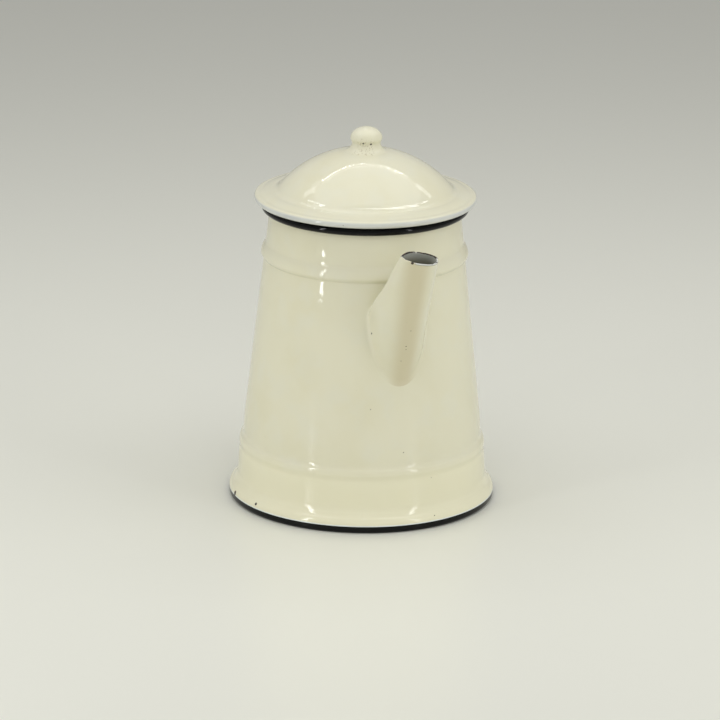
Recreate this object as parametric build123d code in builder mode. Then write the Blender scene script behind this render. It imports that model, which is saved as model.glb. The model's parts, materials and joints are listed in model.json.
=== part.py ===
# Enamel coffee pot: a tapered sheet-steel body on a flared foot, with a straight spout,
# a riveted strap handle, and a domed lid that turns on a riveted hinge.
# Frame: +Z up, the origin on the pot's axis at the table, the spout towards +X, the handle
# and the hinge towards -X, and the hinge pin along Y. All lengths are in millimetres.
import os
from math import acos, asin, atan, cos, degrees, radians, sin, sqrt, tan

from build123d import *

os.makedirs("parts", exist_ok=True)

# Sheet, wires and clearances
sheet = 1.0                # steel sheet with its enamel on both sides
rim_wire_r = 0.95          # wire in the rolled rim
foot_wire_r = 0.8          # wire in the rolled foot edge
wire_play = 0.05           # around a wire
seam_gap = 0.05            # between sheets that lie on each other
seat_gap = 0.3             # between the lid's seat and the rim
pin_play = 0.05            # around the hinge pin
rivet_play = 0.05          # around a rivet's shank
hinge_side_play = 0.25     # between the leaf's knuckle and each ear
roll_clearance = 0.6       # between the hinge bracket and the rolled rim

# Body: a cone from the waist, where the foot skirt laps it, to the neck below the rim
rim_top_z = 154.3          # top of the rolled rim
neck_r = 48.44             # outside radius where the rim flares out
waist_z = 33.9             # top edge of the foot skirt
waist_r = 61.39            # outside radius of the cone there
rim_flare_r = 3.3          # radius of the mouth's rounded lip
lap_depth = 5.0            # how far the cone reaches down inside the skirt
bead_drop = 31.5           # from the rim's top down to the raised bead's lower crease
bead_h = 10.5
bead_peak_h = 4.6          # its highest line, above the lower crease
bead_rise = 1.65           # how far the bead stands out of the cone

# Foot
foot_spread = 6.61         # how far the foot stands out beyond the cone's waist
foot_contact = 0.15        # depth of the roll that is worn flat where it stands
groove_drop = 2.2          # from the cone's lower edge to the groove under the skirt's ridge
groove_out = 1.06          # groove, beyond the cone's waist
flare_drop = 7.2           # from the groove to where the skirt starts to sweep outwards
flare_out = 1.91           # start of the sweep, beyond the cone's waist
flare_turn_z = 8.4         # where the sweep turns back to upright
flare_turn_in = 1.25       # that turn, inside the foot's radius
pan_flange_h = 7.1
pan_bend_r = 2.0           # bend between the bottom and its flange

# Spout: seamed along its two sides, in the plane that leans out at spout_lean
spout_lean = 40.0          # from upright, of the seam line and of the back
spout_root_drop = 45.3     # from the rim's top to a point of the seam line, at the body
spout_root_sink = 2.1      # how far that point lies inside the cone
spout_root_half_w = 14.6   # half width at that point
spout_width_ratio = 0.082  # half width lost per millimetre along the seam
spout_back = 5.7           # from the seam plane to the back
spout_front_mouth = 7.49   # from the seam plane to the front ridge, at the mouth
spout_front_ratio = 0.2556  # front depth gained per millimetre down from the mouth
spout_corner_wall = 1.5    # wall at the pointed corners of the mouth
spout_spare = 14.0         # length beyond the mouth that the slanting cut takes off
mouth_drop = 6.6           # from the rim's top to the centre of the mouth
mouth_out = 1.53           # that centre, outside the seam line
mouth_dip = 13.0           # how far the mouth tips outwards, in degrees
mouth_roll = 11.4          # how far it tips to the +Y side, in degrees

# Strainer behind the spout
strainer_hole_r = 1.75
strainer_pitch = 5.6
strainer_margin = 4.1      # from the spout's side to the strainer's
strainer_half_h = 15.0
strainer_drop = 11.0       # from the seam line at the body to the strainer's middle

# Lid
brim_overhang = 3.66       # of the rolled brim, beyond the rolled rim
brim_roll_r = 1.9
brim_lift = 0.5            # rolled edge above the seat
brim_slope = 10.3          # degrees below level, going outwards
brim_w = 9.36              # from the middle of the rolled edge in to the dome's foot
dome_rise = 25.1           # from the middle of the rolled edge up to the dome's top
dome_fillet_r = 4.5        # where the dome runs into the brim
collar_play = 2.0          # between the collar and the mouth
collar_depth = 8.0         # below the seat
collar_bend_r = 1.2

# Knob
knob_r = 8.1
knob_half_h = 5.75
knob_h = 11.35             # above the dome's top
knob_neck_in = 0.5         # how much narrower its neck is than the ball
knob_neck_h = 3.1          # narrowest line, above the dome's top
knob_base_r = 8.2
knob_base_h = 1.3          # where it starts to spread, above the dome's top
knob_foot_r = 11.0
knob_foot_angle = 6.0      # in degrees, between the dome and the thin edge of its foot
knob_rivet_r = 2.0
knob_rivet_reach = 7.0     # into the knob, above the dome
knob_rivet_head_r = 4.2
knob_rivet_head_h = 1.4

# Hinge
knuckle_gap = 1.3          # between the brim and the leaf's knuckle
knuckle_r = 2.3
pin_r = 1.2
pin_head_r = 2.1
pin_head_h = 0.9
leaf_t = 1.2
leaf_half_w = 9.3
leaf_lap = 7.6             # how far the leaf reaches in from the middle of the rolled edge
leaf_rivet_in = 4.1        # its rivets, measured the same way
ear_r = 2.6                # round end of an ear
ear_slant = 40.0           # of the ear's two slanting edges where they reach the round end
ear_foot_out = 3.4         # how far an ear's foot stands out of the bracket's base
bracket_t = 1.2
bracket_above_bead = 6.3
hinge_rivet_h = 5.0        # above the bracket's lower edge

# Handle: a crowned strap, its inner face hollow to fit the body
strap_t = 1.3
strap_w = 18.0
strap_top_inset = 0.3      # upper end, below the bracket's upper edge
strap_bend_below = 6.6     # upper bend, below the bracket
strap_top_rise = 7.2       # outer corner at the top, above the upper bend
strap_top_out = 48.5       # that corner, beyond the neck
strap_back_out = 38.5      # back corner, beyond the neck
strap_back_rise = 26.0     # back corner, above the lower bend
strap_lower_bend_h = 15.0  # lower bend, above the lower end
strap_low_gap = 9.1        # lower end, above the skirt
strap_bend_radii = (6.5, 17.0, 42.0, 11.0)
strap_corner_r = 5.0       # rounded corners of its ends
strap_bead_r = 1.5         # rolled edges of the part that is held
strap_rivet_h = 6.5        # above the lower end

# Rivets
rivet_r = 1.3
rivet_head_r = 2.3
rivet_head_h = 1.2
rivet_tail_r = 2.1
rivet_tail_h = 0.8
rivet_half_gap = 4.6       # half the distance between the two rivets of a pair

# Body and foot, worked out from the sizes above
neck_z = rim_top_z - rim_flare_r
taper = (waist_r - neck_r) / (neck_z - waist_z)
cone_tilt = degrees(atan(taper))
body_low_z = waist_z - lap_depth
bead_low_z = rim_top_z - bead_drop
bead_high_z = bead_low_z + bead_h
rim_roll_r = rim_wire_r + wire_play + sheet
rim_roll_x = neck_r - sheet + rim_flare_r
rim_roll_z = rim_top_z - rim_roll_r
foot_r = waist_r + foot_spread
foot_roll_r = foot_wire_r + wire_play + sheet
foot_roll_x = foot_r - foot_roll_r
foot_roll_z = foot_roll_r - foot_contact
foot_band_h = foot_roll_z + sqrt(foot_roll_r**2 - (foot_roll_r - sheet) ** 2) + seam_gap
floor_z = body_low_z + pan_flange_h


def cone_r(z):
    """Outside radius of the body's cone at a height."""
    return waist_r - taper * (z - waist_z)


def sag(curve, half_width):
    """How far a curve of that radius falls away at half_width from its middle."""
    return curve - sqrt(curve**2 - half_width**2)


# Lid and knob, worked out: the dome's curve runs through its top and its foot on the brim
slope = radians(brim_slope)
seat_z = rim_top_z + seat_gap
brim_r = rim_roll_x + rim_roll_r + brim_overhang
brim_roll_x = brim_r - brim_roll_r
brim_roll_z = seat_z + brim_lift + brim_roll_r
collar_r = neck_r - sheet - collar_play
dome_top_z = brim_roll_z + dome_rise
knob_top_z = dome_top_z + knob_h
knob_mid_z = knob_top_z - knob_half_h


def brim_z(x, lift=0.0):
    """Height of the brim's top at a radius, or of a line that lies lift above it."""
    return brim_roll_z + (brim_roll_r + lift) / cos(slope) - (x - brim_roll_x) * tan(slope)


dome_foot_x = brim_roll_x - brim_w
dome_h = dome_top_z - brim_z(dome_foot_x)
dome_curve_r = (dome_foot_x**2 + dome_h**2) / (2 * dome_h)


def dome_z(x, inset=0.0):
    """Height of the dome's surface at a radius, or of a surface inset below it."""
    curve = dome_curve_r - inset
    return dome_top_z - dome_curve_r + sqrt(curve**2 - x**2)


def dome_foot(inset):
    """Where the dome's curve meets the brim's line, both inset by the same distance."""
    curve = dome_curve_r - inset
    centre_z = dome_top_z - dome_curve_r
    rise = brim_roll_x * sin(slope) + (brim_roll_z - centre_z) * cos(slope) + brim_roll_r - inset
    reach = sqrt(curve**2 - rise**2)
    return (rise * sin(slope) + reach * cos(slope), centre_z + rise * cos(slope) - reach * sin(slope))


# Hinge and handle, worked out: the pin is below the leaf's top, so that the leaf runs level
# into its knuckle. The strap is hollow to the lower, wider part of the body, so at the neck
# the bracket stands off by how much less the strap falls away than the body does
ear_in_y = leaf_half_w + hinge_side_play
ear_out_y = ear_in_y + bracket_t
bracket_low_z = bead_high_z + bracket_above_bead
bracket_high_z = rim_top_z - 2 * rim_roll_r - roll_clearance
pin_x = -(brim_r + knuckle_gap + knuckle_r)
pin_z = brim_z(-pin_x, seam_gap + leaf_t - knuckle_r)
pin_at = (pin_x, pin_z)
strap_low_z = waist_z + strap_low_gap
strap_lower_bend_z = strap_low_z + strap_lower_bend_h
strap_upper_bend_z = bracket_low_z - strap_bend_below
strap_crown_r = cone_r(strap_low_z) + seam_gap
strap_half_w = strap_w / 2
crown_sag = sag(strap_crown_r + strap_t, strap_half_w)
bracket_inset = 2 * seam_gap + strap_t + sag(neck_r, strap_half_w) - crown_sag


def wall_plane(z, lift, turn=0.0):
    """Plane that faces out of the handle's side of the cone, lift above its surface.

    turn is the angle, in degrees about Z, away from the handle's own plane."""
    azimuth = radians(180 + turn)
    tilt = radians(cone_tilt)
    out = Vector(cos(azimuth) * cos(tilt), sin(azimuth) * cos(tilt), sin(tilt))
    foot = Vector(cone_r(z) * cos(azimuth), cone_r(z) * sin(azimuth), z)
    return Plane(origin=foot + out * lift, x_dir=(sin(azimuth), -cos(azimuth), 0), z_dir=out)


def pair_turn(z):
    """Angle about Z from the handle's plane to a rivet of a pair at that height."""
    return degrees(asin(rivet_half_gap / cone_r(z)))


def strap_line(z):
    """Point of the strap's middle line where it lies on the body."""
    return (-(cone_r(z) + (seam_gap + strap_t / 2) / cos(radians(cone_tilt))), z)


def rivet_pair(planes, grip):
    """Two rivets: domed heads on the planes, and flat tails at the far side of the grip."""
    with BuildPart() as pair:
        for plane in planes:
            with BuildSketch(plane.offset(-grip - rivet_tail_h)):
                Circle(rivet_tail_r)
            extrude(amount=rivet_tail_h)
            with BuildSketch(plane.offset(-grip)):
                Circle(rivet_r)
            extrude(amount=grip)
            with BuildSketch(plane):
                Circle(rivet_head_r)
            extrude(amount=rivet_head_h)
            crown = pair.edges(Select.LAST).sort_by(Axis(plane.origin, plane.z_dir))[-1]
            fillet(crown, rivet_head_h * 0.9)
    return pair.part


def rivet_holes(planes, depth):
    """Holes for a pair of rivets, cut to both sides of the planes."""
    for plane in planes:
        with BuildSketch(plane.offset(-depth)) as hole:
            Circle(rivet_r + rivet_play)
        extrude(hole.sketch, amount=2 * depth, mode=Mode.SUBTRACT)


def wall_pair_planes(z, lift):
    """Planes of a pair of rivets on the handle's side of the cone, lift above its surface."""
    turn = pair_turn(z)
    return [wall_plane(z, lift, -turn), wall_plane(z, lift, turn)]


# Where the rivets sit: their planes lie under the heads
hinge_head_lift = bracket_inset + bracket_t + seam_gap
strap_head_lift = seam_gap + strap_t + seam_gap
leaf_head_lift = seam_gap + leaf_t + seam_gap
hinge_rivet_planes = wall_pair_planes(bracket_low_z + hinge_rivet_h, hinge_head_lift)
strap_rivet_planes = wall_pair_planes(strap_low_z + strap_rivet_h, strap_head_lift)
leaf_rivet_r = brim_roll_x - leaf_rivet_in
leaf_rivet_planes = [
    Plane(
        origin=(-leaf_rivet_r, side * rivet_half_gap, brim_z(leaf_rivet_r, leaf_head_lift)),
        x_dir=(0, 1, 0),
        z_dir=(-sin(slope), 0, cos(slope)),
    )
    for side in (-1, 1)
]
hole_depth = 2 * hinge_head_lift  # longer than any stack of sheets


def body_edge(inset):
    """The body's outline from its lower edge to the neck, inset from the outside."""
    low = (cone_r(body_low_z) - inset, body_low_z)
    bead_low = (cone_r(bead_low_z) - inset, bead_low_z)
    bead_peak_z = bead_low_z + bead_peak_h
    bead_peak = (cone_r(bead_peak_z) + bead_rise - inset, bead_peak_z)
    bead_high = (cone_r(bead_high_z) - inset, bead_high_z)
    neck = (neck_r - inset, neck_z)
    Line(low, bead_low)
    ThreePointArc(bead_low, bead_peak, bead_high)
    Line(bead_high, neck)
    return low, neck


# Body wall, with the strainer behind the spout and the rivet holes at the back
with BuildPart() as body_wall:
    with BuildSketch(Plane.XZ):
        with BuildLine():
            outer_low, outer_neck = body_edge(0)
            inner_low, inner_neck = body_edge(sheet)
            Line(outer_low, inner_low)
            Line(outer_neck, inner_neck)
        make_face()
    revolve(axis=Axis.Z)
    strainer_half_w = spout_root_half_w - strainer_margin
    strainer_z = rim_top_z - spout_root_drop - strainer_drop
    row_pitch = strainer_pitch * sqrt(3) / 2
    strainer_rows = int(strainer_half_h / row_pitch)
    strainer_columns = int(strainer_half_w / strainer_pitch) + 1
    with BuildSketch(Plane.YZ.offset(neck_r / 2)):
        for row in range(-strainer_rows, strainer_rows + 1):
            for column in range(-strainer_columns, strainer_columns + 1):
                hole_y = (column + (row % 2) / 2) * strainer_pitch
                hole_z = row * row_pitch
                if (hole_y / strainer_half_w) ** 2 + (hole_z / strainer_half_h) ** 2 < 1:
                    with Locations((hole_y, strainer_z + hole_z)):
                        Circle(strainer_hole_r)
    extrude(amount=waist_r, mode=Mode.SUBTRACT)
    rivet_holes(hinge_rivet_planes, hole_depth)
    rivet_holes(strap_rivet_planes, hole_depth)
body_wall.part.label = "body_wall"
export_step(body_wall.part, "parts/body_wall.step")

# Rolled rim: the mouth's lip curls outwards round a wire
with BuildPart() as rim_roll:
    with BuildSketch(Plane.XZ):
        with BuildLine():
            CenterArc((rim_roll_x, neck_z), rim_flare_r, 90, 90)
            CenterArc((rim_roll_x, neck_z), rim_flare_r - sheet, 90, 90)
            Line((rim_roll_x, rim_top_z), (rim_roll_x, rim_top_z - sheet))
            Line((neck_r - sheet, neck_z), (neck_r, neck_z))
        make_face()
        with Locations((rim_roll_x, rim_roll_z)):
            Circle(rim_roll_r)
            Circle(rim_wire_r + wire_play, mode=Mode.SUBTRACT)
    revolve(axis=Axis.Z)
rim_roll.part.label = "rim_roll"
export_step(rim_roll.part, "parts/rim_roll.step")

with BuildPart() as rim_wire:
    with BuildSketch(Plane.XZ):
        with Locations((rim_roll_x, rim_roll_z)):
            Circle(rim_wire_r)
    revolve(axis=Axis.Z)
rim_wire.part.label = "rim_wire"
export_step(rim_wire.part, "parts/rim_wire.step")


def skirt_edge(inset):
    """The skirt's outline from its top edge down to the black edge, inset from the outside."""
    lap = sheet + seam_gap - inset
    top = (cone_r(waist_z) + lap, waist_z)
    lap_low = (cone_r(body_low_z) + lap, body_low_z)
    groove = (waist_r + groove_out - inset, body_low_z - groove_drop)
    flare_start = (waist_r + flare_out - inset, body_low_z - groove_drop - flare_drop)
    flare_turn = (foot_r - flare_turn_in - inset, flare_turn_z)
    foot = (foot_r - inset, foot_band_h)
    Line(top, lap_low)
    Line(lap_low, groove)
    run = Line(groove, flare_start)
    flare = TangentArc(flare_start, flare_turn, tangent=run % 1)
    TangentArc(flare_turn, foot, tangent=flare % 1)
    return top, foot


# Foot skirt: it laps the cone, and flares out below it
with BuildPart() as foot_skirt:
    with BuildSketch(Plane.XZ):
        with BuildLine():
            outer_top, outer_foot = skirt_edge(0)
            inner_top, inner_foot = skirt_edge(sheet)
            Line(outer_top, inner_top)
            Line(outer_foot, inner_foot)
        make_face()
    revolve(axis=Axis.Z)
foot_skirt.part.label = "foot_skirt"
export_step(foot_skirt.part, "parts/foot_skirt.step")

# Rolled foot edge, worn flat where it stands
with BuildPart() as foot_roll:
    with BuildSketch(Plane.XZ):
        with Locations((foot_r - sheet / 2, (foot_roll_z + foot_band_h) / 2)):
            Rectangle(sheet, foot_band_h - foot_roll_z)
        with Locations((foot_roll_x, foot_roll_z)):
            Circle(foot_roll_r)
            Circle(foot_wire_r + wire_play, mode=Mode.SUBTRACT)
        with Locations((foot_roll_x, -foot_roll_r)):
            Rectangle(4 * foot_roll_r, 2 * foot_roll_r, mode=Mode.SUBTRACT)
    revolve(axis=Axis.Z)
foot_roll.part.label = "foot_roll"
export_step(foot_roll.part, "parts/foot_roll.step")

with BuildPart() as foot_wire:
    with BuildSketch(Plane.XZ):
        with Locations((foot_roll_x, foot_roll_z)):
            Circle(foot_wire_r)
    revolve(axis=Axis.Z)
foot_wire.part.label = "foot_wire"
export_step(foot_wire.part, "parts/foot_wire.step")

# Bottom: a pan pushed up into the cone, its flange turned down along the wall
with BuildPart() as base_pan:
    with BuildSketch(Plane.XZ) as pan_section:
        with BuildLine():
            Polyline(
                (0, floor_z),
                (cone_r(floor_z) - sheet - seam_gap, floor_z),
                (cone_r(body_low_z) - sheet - seam_gap, body_low_z),
                (cone_r(body_low_z) - 2 * sheet - seam_gap, body_low_z),
                (cone_r(floor_z - sheet) - 2 * sheet - seam_gap, floor_z - sheet),
                (0, floor_z - sheet),
                close=True,
            )
        make_face()
        pan_outer = (cone_r(floor_z) - sheet - seam_gap, floor_z)
        pan_inner = (cone_r(floor_z - sheet) - 2 * sheet - seam_gap, floor_z - sheet)
        fillet(pan_section.vertices().sort_by_distance(pan_outer)[0], pan_bend_r)
        fillet(pan_section.vertices().sort_by_distance(pan_inner)[0], pan_bend_r - sheet)
    revolve(axis=Axis.Z)
base_pan.part.label = "base_pan"
export_step(base_pan.part, "parts/base_pan.step")


# Spout: sections stand square to the seam line
lean = radians(spout_lean)
spout_run = Vector(sin(lean), 0, cos(lean))
spout_root_z = rim_top_z - spout_root_drop
spout_root = Vector(cone_r(spout_root_z) - spout_root_sink, 0, spout_root_z)
mouth_rise = spout_root_drop - mouth_drop
mouth_centre = spout_root + Vector(mouth_rise * tan(lean) + mouth_out, 0, mouth_rise)
mouth_station = (mouth_centre - spout_root).dot(spout_run)
station_inside = -spout_root.X * 2 / 3  # well inside the body, below the spout's lowest point
station_beyond = mouth_station + spout_spare
mouth_plane = Plane(
    origin=mouth_centre,
    z_dir=(tan(radians(mouth_dip)), tan(radians(mouth_roll)), 1),
)
seam_plane = Plane(origin=spout_root, x_dir=(0, 1, 0), z_dir=(cos(lean), 0, -sin(lean)))


def spout_plane(station):
    """Section plane at a distance along the seam line, its y axis towards the spout's front."""
    return Plane(origin=spout_root + spout_run * station, x_dir=(0, -1, 0), z_dir=spout_run)


def spout_sizes(station, side_wall, wall):
    """Half width, front depth and back depth of a section, less the wall."""
    half_w = spout_root_half_w - spout_width_ratio * station - side_wall
    front = spout_front_mouth + spout_front_ratio * (mouth_station - station) - wall
    return half_w, front, spout_back - wall


def spout_sections(low_wall, high_wall, wall):
    """The two end sections: egg-shaped at the root, a pointed lens at the mouth."""
    half_w, front, back = spout_sizes(station_inside, low_wall, wall)
    with BuildSketch(spout_plane(station_inside)) as root_section:
        with BuildLine():
            EllipticalCenterArc((0, 0), half_w, front, start_angle=0, arc_size=180)
            EllipticalCenterArc((0, 0), half_w, back, start_angle=180, arc_size=180)
        make_face()
    half_w, front, back = spout_sizes(station_beyond, high_wall, wall)
    with BuildSketch(spout_plane(station_beyond)) as mouth_section:
        with BuildLine():
            EllipticalCenterArc((0, 0), half_w, front, start_angle=0, arc_size=180)
            ThreePointArc((-half_w, 0), (0, -back), (half_w, 0))
        make_face()
    return [root_section.sketch, mouth_section.sketch]


with BuildPart() as spout_shell:
    loft(spout_sections(0, 0, 0), ruled=True)
    loft(spout_sections(sheet, spout_corner_wall, sheet), ruled=True, mode=Mode.SUBTRACT)
    with BuildSketch(Plane.XZ):
        with BuildLine():
            core_low, core_neck = body_edge(-seam_gap)
            Polyline(core_low, (0, body_low_z), (0, neck_z), core_neck)
        make_face()
    revolve(axis=Axis.Z, mode=Mode.SUBTRACT)
    split(bisect_by=mouth_plane, keep=Keep.BOTTOM)

with BuildPart() as spout_front:
    add(spout_shell.part)
    split(bisect_by=seam_plane, keep=Keep.TOP)
spout_front.part.label = "spout_front"
export_step(spout_front.part, "parts/spout_front.step")

with BuildPart() as spout_back_half:
    add(spout_shell.part)
    split(bisect_by=seam_plane, keep=Keep.BOTTOM)
spout_back_half.part.label = "spout_back"
export_step(spout_back_half.part, "parts/spout_back.step")

# Handle strap: the crowned section swept along a line of straight runs and bends, with its
# edges rolled in where the hand holds it, from the first bend to the last
with BuildPart() as handle_strap:
    with BuildLine(Plane.XZ) as strap_path:
        FilletPolyline(
            strap_line(bracket_high_z - strap_top_inset),
            strap_line(strap_upper_bend_z),
            (-(neck_r + strap_top_out), strap_upper_bend_z + strap_top_rise),
            (-(neck_r + strap_back_out), strap_lower_bend_z + strap_back_rise),
            strap_line(strap_lower_bend_z),
            strap_line(strap_low_z),
            radius=strap_bend_radii,
        )
    with BuildSketch(Plane(origin=strap_path.line @ 0, x_dir=(0, 1, 0), z_dir=strap_path.line % 0)):
        crown_centre = (0, strap_t / 2 + strap_crown_r)
        with Locations(crown_centre):
            Circle(strap_crown_r + strap_t)
            Circle(strap_crown_r, mode=Mode.SUBTRACT)
        Rectangle(strap_w, strap_crown_r, mode=Mode.INTERSECT)
    sweep()
    end_corners = handle_strap.edges().filter_by(lambda edge: edge.length < strap_t * 1.2)
    fillet(end_corners, strap_corner_r)
    hold_run = Wire(strap_path.wire().order_edges()[2:-2])
    with BuildSketch(Plane(origin=hold_run @ 0, x_dir=(0, 1, 0), z_dir=hold_run % 0)) as edge_section:
        roll_y = strap_half_w - strap_bead_r
        roll_in = sag(strap_crown_r + strap_t, roll_y) - strap_t / 2 + strap_bead_r
        with Locations((roll_y, roll_in), (-roll_y, roll_in)):
            Circle(strap_bead_r)
    sweep(edge_section.sketch, path=hold_run)
    rivet_holes(hinge_rivet_planes, hole_depth)
    rivet_holes(strap_rivet_planes, hole_depth)
handle_strap.part.label = "handle_strap"
export_step(handle_strap.part, "parts/handle_strap.step")

# Lid shell: the dome, the sloping brim and its rolled edge
dome_centre = (0, dome_top_z - dome_curve_r)
lid_hole_r = knob_rivet_r + rivet_play


def dome_arc(inset):
    """Arc of the dome's section, from its foot on the brim up to the rivet hole."""
    curve = dome_curve_r - inset
    foot_angle = degrees(acos(dome_foot(inset)[0] / curve))
    hole_angle = degrees(acos(lid_hole_r / curve))
    CenterArc(dome_centre, curve, foot_angle, hole_angle - foot_angle)


def brim_end(inset):
    """Where the brim's line touches the rolled edge, inset below its top."""
    touch = brim_roll_r - inset
    return (brim_roll_x + touch * sin(slope), brim_roll_z + touch * cos(slope))


with BuildPart() as lid_shell:
    with BuildSketch(Plane.XZ) as lid_section:
        with BuildLine():
            dome_arc(0)
            dome_arc(sheet)
            Line((lid_hole_r, dome_z(lid_hole_r)), (lid_hole_r, dome_z(lid_hole_r, sheet)))
            Line(dome_foot(0), brim_end(0))
            Line(dome_foot(sheet), brim_end(sheet))
            Line(brim_end(0), brim_end(sheet))
        make_face()
        fillet(lid_section.vertices().sort_by_distance(dome_foot(0))[0], dome_fillet_r)
        fillet(lid_section.vertices().sort_by_distance(dome_foot(sheet))[0], dome_fillet_r + sheet)
        with Locations((brim_roll_x, brim_roll_z)):
            Circle(brim_roll_r)
            Circle(brim_roll_r - sheet, mode=Mode.SUBTRACT)
    revolve(axis=Axis.Z)
    rivet_holes(leaf_rivet_planes, hole_depth / 2)
lid_shell.part.label = "lid_shell"
export_step(lid_shell.part, "parts/lid_shell.step")

# Collar under the lid: its flange is held in the rolled brim and rests on the rim
flange_r = brim_roll_x - brim_roll_r - seam_gap
with BuildPart() as lid_collar:
    with BuildSketch(Plane.XZ) as collar_section:
        with BuildLine():
            Polyline(
                (collar_r, seat_z - collar_depth),
                (collar_r, seat_z),
                (flange_r, seat_z),
                (flange_r, seat_z + sheet),
                (collar_r - sheet, seat_z + sheet),
                (collar_r - sheet, seat_z - collar_depth),
                close=True,
            )
        make_face()
        fillet(collar_section.vertices().sort_by_distance((collar_r, seat_z))[0], collar_bend_r)
        outer_corner = (collar_r - sheet, seat_z + sheet)
        fillet(collar_section.vertices().sort_by_distance(outer_corner)[0], collar_bend_r + sheet)
    revolve(axis=Axis.Z)
lid_collar.part.label = "lid_collar"
export_step(lid_collar.part, "parts/lid_collar.step")

# Knob: an oblate ball on a short waist, with a blind hole for its rivet
knob_hole_top_z = dome_top_z + knob_rivet_reach + rivet_play
quarter_pull = 0.5523      # pull of the two middle points that makes a quarter of an ellipse
with BuildPart() as knob:
    with BuildSketch(Plane.XZ):
        with BuildLine():
            Bezier(
                (knob_r, knob_mid_z),
                (knob_r, knob_mid_z + quarter_pull * knob_half_h),
                (quarter_pull * knob_r, knob_top_z),
                (0, knob_top_z),
            )
            knob_neck = (knob_r - knob_neck_in, dome_top_z + knob_neck_h)
            knob_base = (knob_base_r, dome_top_z + knob_base_h)
            ThreePointArc((knob_r, knob_mid_z), knob_neck, knob_base)
            knob_foot = (knob_foot_r, dome_z(knob_foot_r, -seam_gap))
            foot_rise = radians(knob_foot_angle) + asin(knob_foot_r / dome_curve_r)
            TangentArc(knob_foot, knob_base, tangent=(-cos(foot_rise), sin(foot_rise)))
            ThreePointArc(
                knob_foot,
                (knob_foot_r / 2, dome_z(knob_foot_r / 2, -seam_gap)),
                (0, dome_z(0, -seam_gap)),
            )
            Line((0, dome_z(0, -seam_gap)), (0, knob_top_z))
        make_face()
    revolve(axis=Axis.Z)
    with BuildSketch(Plane.XY.offset(dome_top_z - rivet_head_h)):
        Circle(lid_hole_r)
    extrude(amount=knob_hole_top_z - dome_top_z + rivet_head_h, mode=Mode.SUBTRACT)
knob.part.label = "knob"
export_step(knob.part, "parts/knob.step")

with BuildPart() as knob_rivet:
    head_top_z = dome_z(knob_rivet_head_r, sheet + seam_gap)
    with BuildSketch(Plane.XY.offset(head_top_z - knob_rivet_head_h)):
        Circle(knob_rivet_head_r)
    extrude(amount=knob_rivet_head_h)
    fillet(knob_rivet.edges().sort_by(Axis.Z)[0], knob_rivet_head_h * 0.8)
    with BuildSketch(Plane.XY.offset(head_top_z)):
        Circle(knob_rivet_r)
    extrude(amount=dome_top_z + knob_rivet_reach - head_top_z)
knob_rivet.part.label = "knob_rivet"
export_step(knob_rivet.part, "parts/knob_rivet.step")

# Hinge leaf: a plate on the brim, rolled round the pin
with BuildPart() as lid_leaf:
    with BuildSketch(Plane.XZ.offset(-leaf_half_w)):
        leaf_inner_r = brim_roll_x - leaf_lap
        with BuildLine():
            Polyline(
                (-leaf_inner_r, brim_z(leaf_inner_r, seam_gap)),
                (-leaf_inner_r, brim_z(leaf_inner_r, seam_gap + leaf_t)),
                (pin_x - knuckle_r * sin(slope), pin_z + knuckle_r * cos(slope)),
                (pin_x - (knuckle_r - leaf_t) * sin(slope), pin_z + (knuckle_r - leaf_t) * cos(slope)),
                close=True,
            )
        make_face()
        with Locations(pin_at):
            Circle(knuckle_r)
            Circle(pin_r + pin_play, mode=Mode.SUBTRACT)
    extrude(amount=2 * leaf_half_w)
    leaf_corners = lid_leaf.edges().filter_by(lambda edge: edge.length < leaf_t * 1.2)
    fillet(leaf_corners.group_by(Axis.X)[-1], leaf_half_w * 0.6)
    rivet_holes(leaf_rivet_planes, hole_depth / 2)
lid_leaf.part.label = "lid_leaf"
export_step(lid_leaf.part, "parts/lid_leaf.step")

# Hinge bracket: a curved base on the strap's upper end, with two ears folded out to the pin
with BuildPart() as hinge_bracket:
    with BuildSketch(Plane.XZ):
        base_in = bracket_inset / cos(radians(cone_tilt))
        base_out = (bracket_inset + bracket_t) / cos(radians(cone_tilt))
        with BuildLine():
            Polyline(
                (cone_r(bracket_low_z) + base_in, bracket_low_z),
                (cone_r(bracket_low_z) + base_out, bracket_low_z),
                (cone_r(bracket_high_z) + base_out, bracket_high_z),
                (cone_r(bracket_high_z) + base_in, bracket_high_z),
                close=True,
            )
        make_face()
    revolve(axis=Axis.Z)
    with Locations((-waist_r / 2, 0, bracket_high_z)):
        Box(waist_r, 2 * ear_out_y, rim_top_z, mode=Mode.INTERSECT)
    with BuildSketch(Plane.XZ.offset(-ear_out_y)):
        plate_x = -(neck_r + bracket_inset)
        roll_side_x = -(rim_roll_x + rim_roll_r + roll_clearance)
        slant = radians(ear_slant)
        with BuildLine():
            Polyline(
                (plate_x, bracket_low_z),
                (plate_x, bracket_high_z),
                (roll_side_x, bracket_high_z),
                (roll_side_x, rim_roll_z),
                (pin_x + ear_r * cos(slant), pin_z - ear_r * (1 - sin(slant))),
                pin_at,
                (pin_x - ear_r, pin_z),
                (pin_x - ear_r * cos(slant), bracket_high_z),
                (plate_x - ear_foot_out, bracket_low_z),
                close=True,
            )
        make_face()
        with Locations(pin_at):
            Circle(ear_r)
            Circle(pin_r + pin_play, mode=Mode.SUBTRACT)
    ear = extrude(amount=bracket_t)
    mirror(ear, about=Plane.XZ)
    rivet_holes(hinge_rivet_planes, hole_depth)
hinge_bracket.part.label = "hinge_bracket"
export_step(hinge_bracket.part, "parts/hinge_bracket.step")

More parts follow.
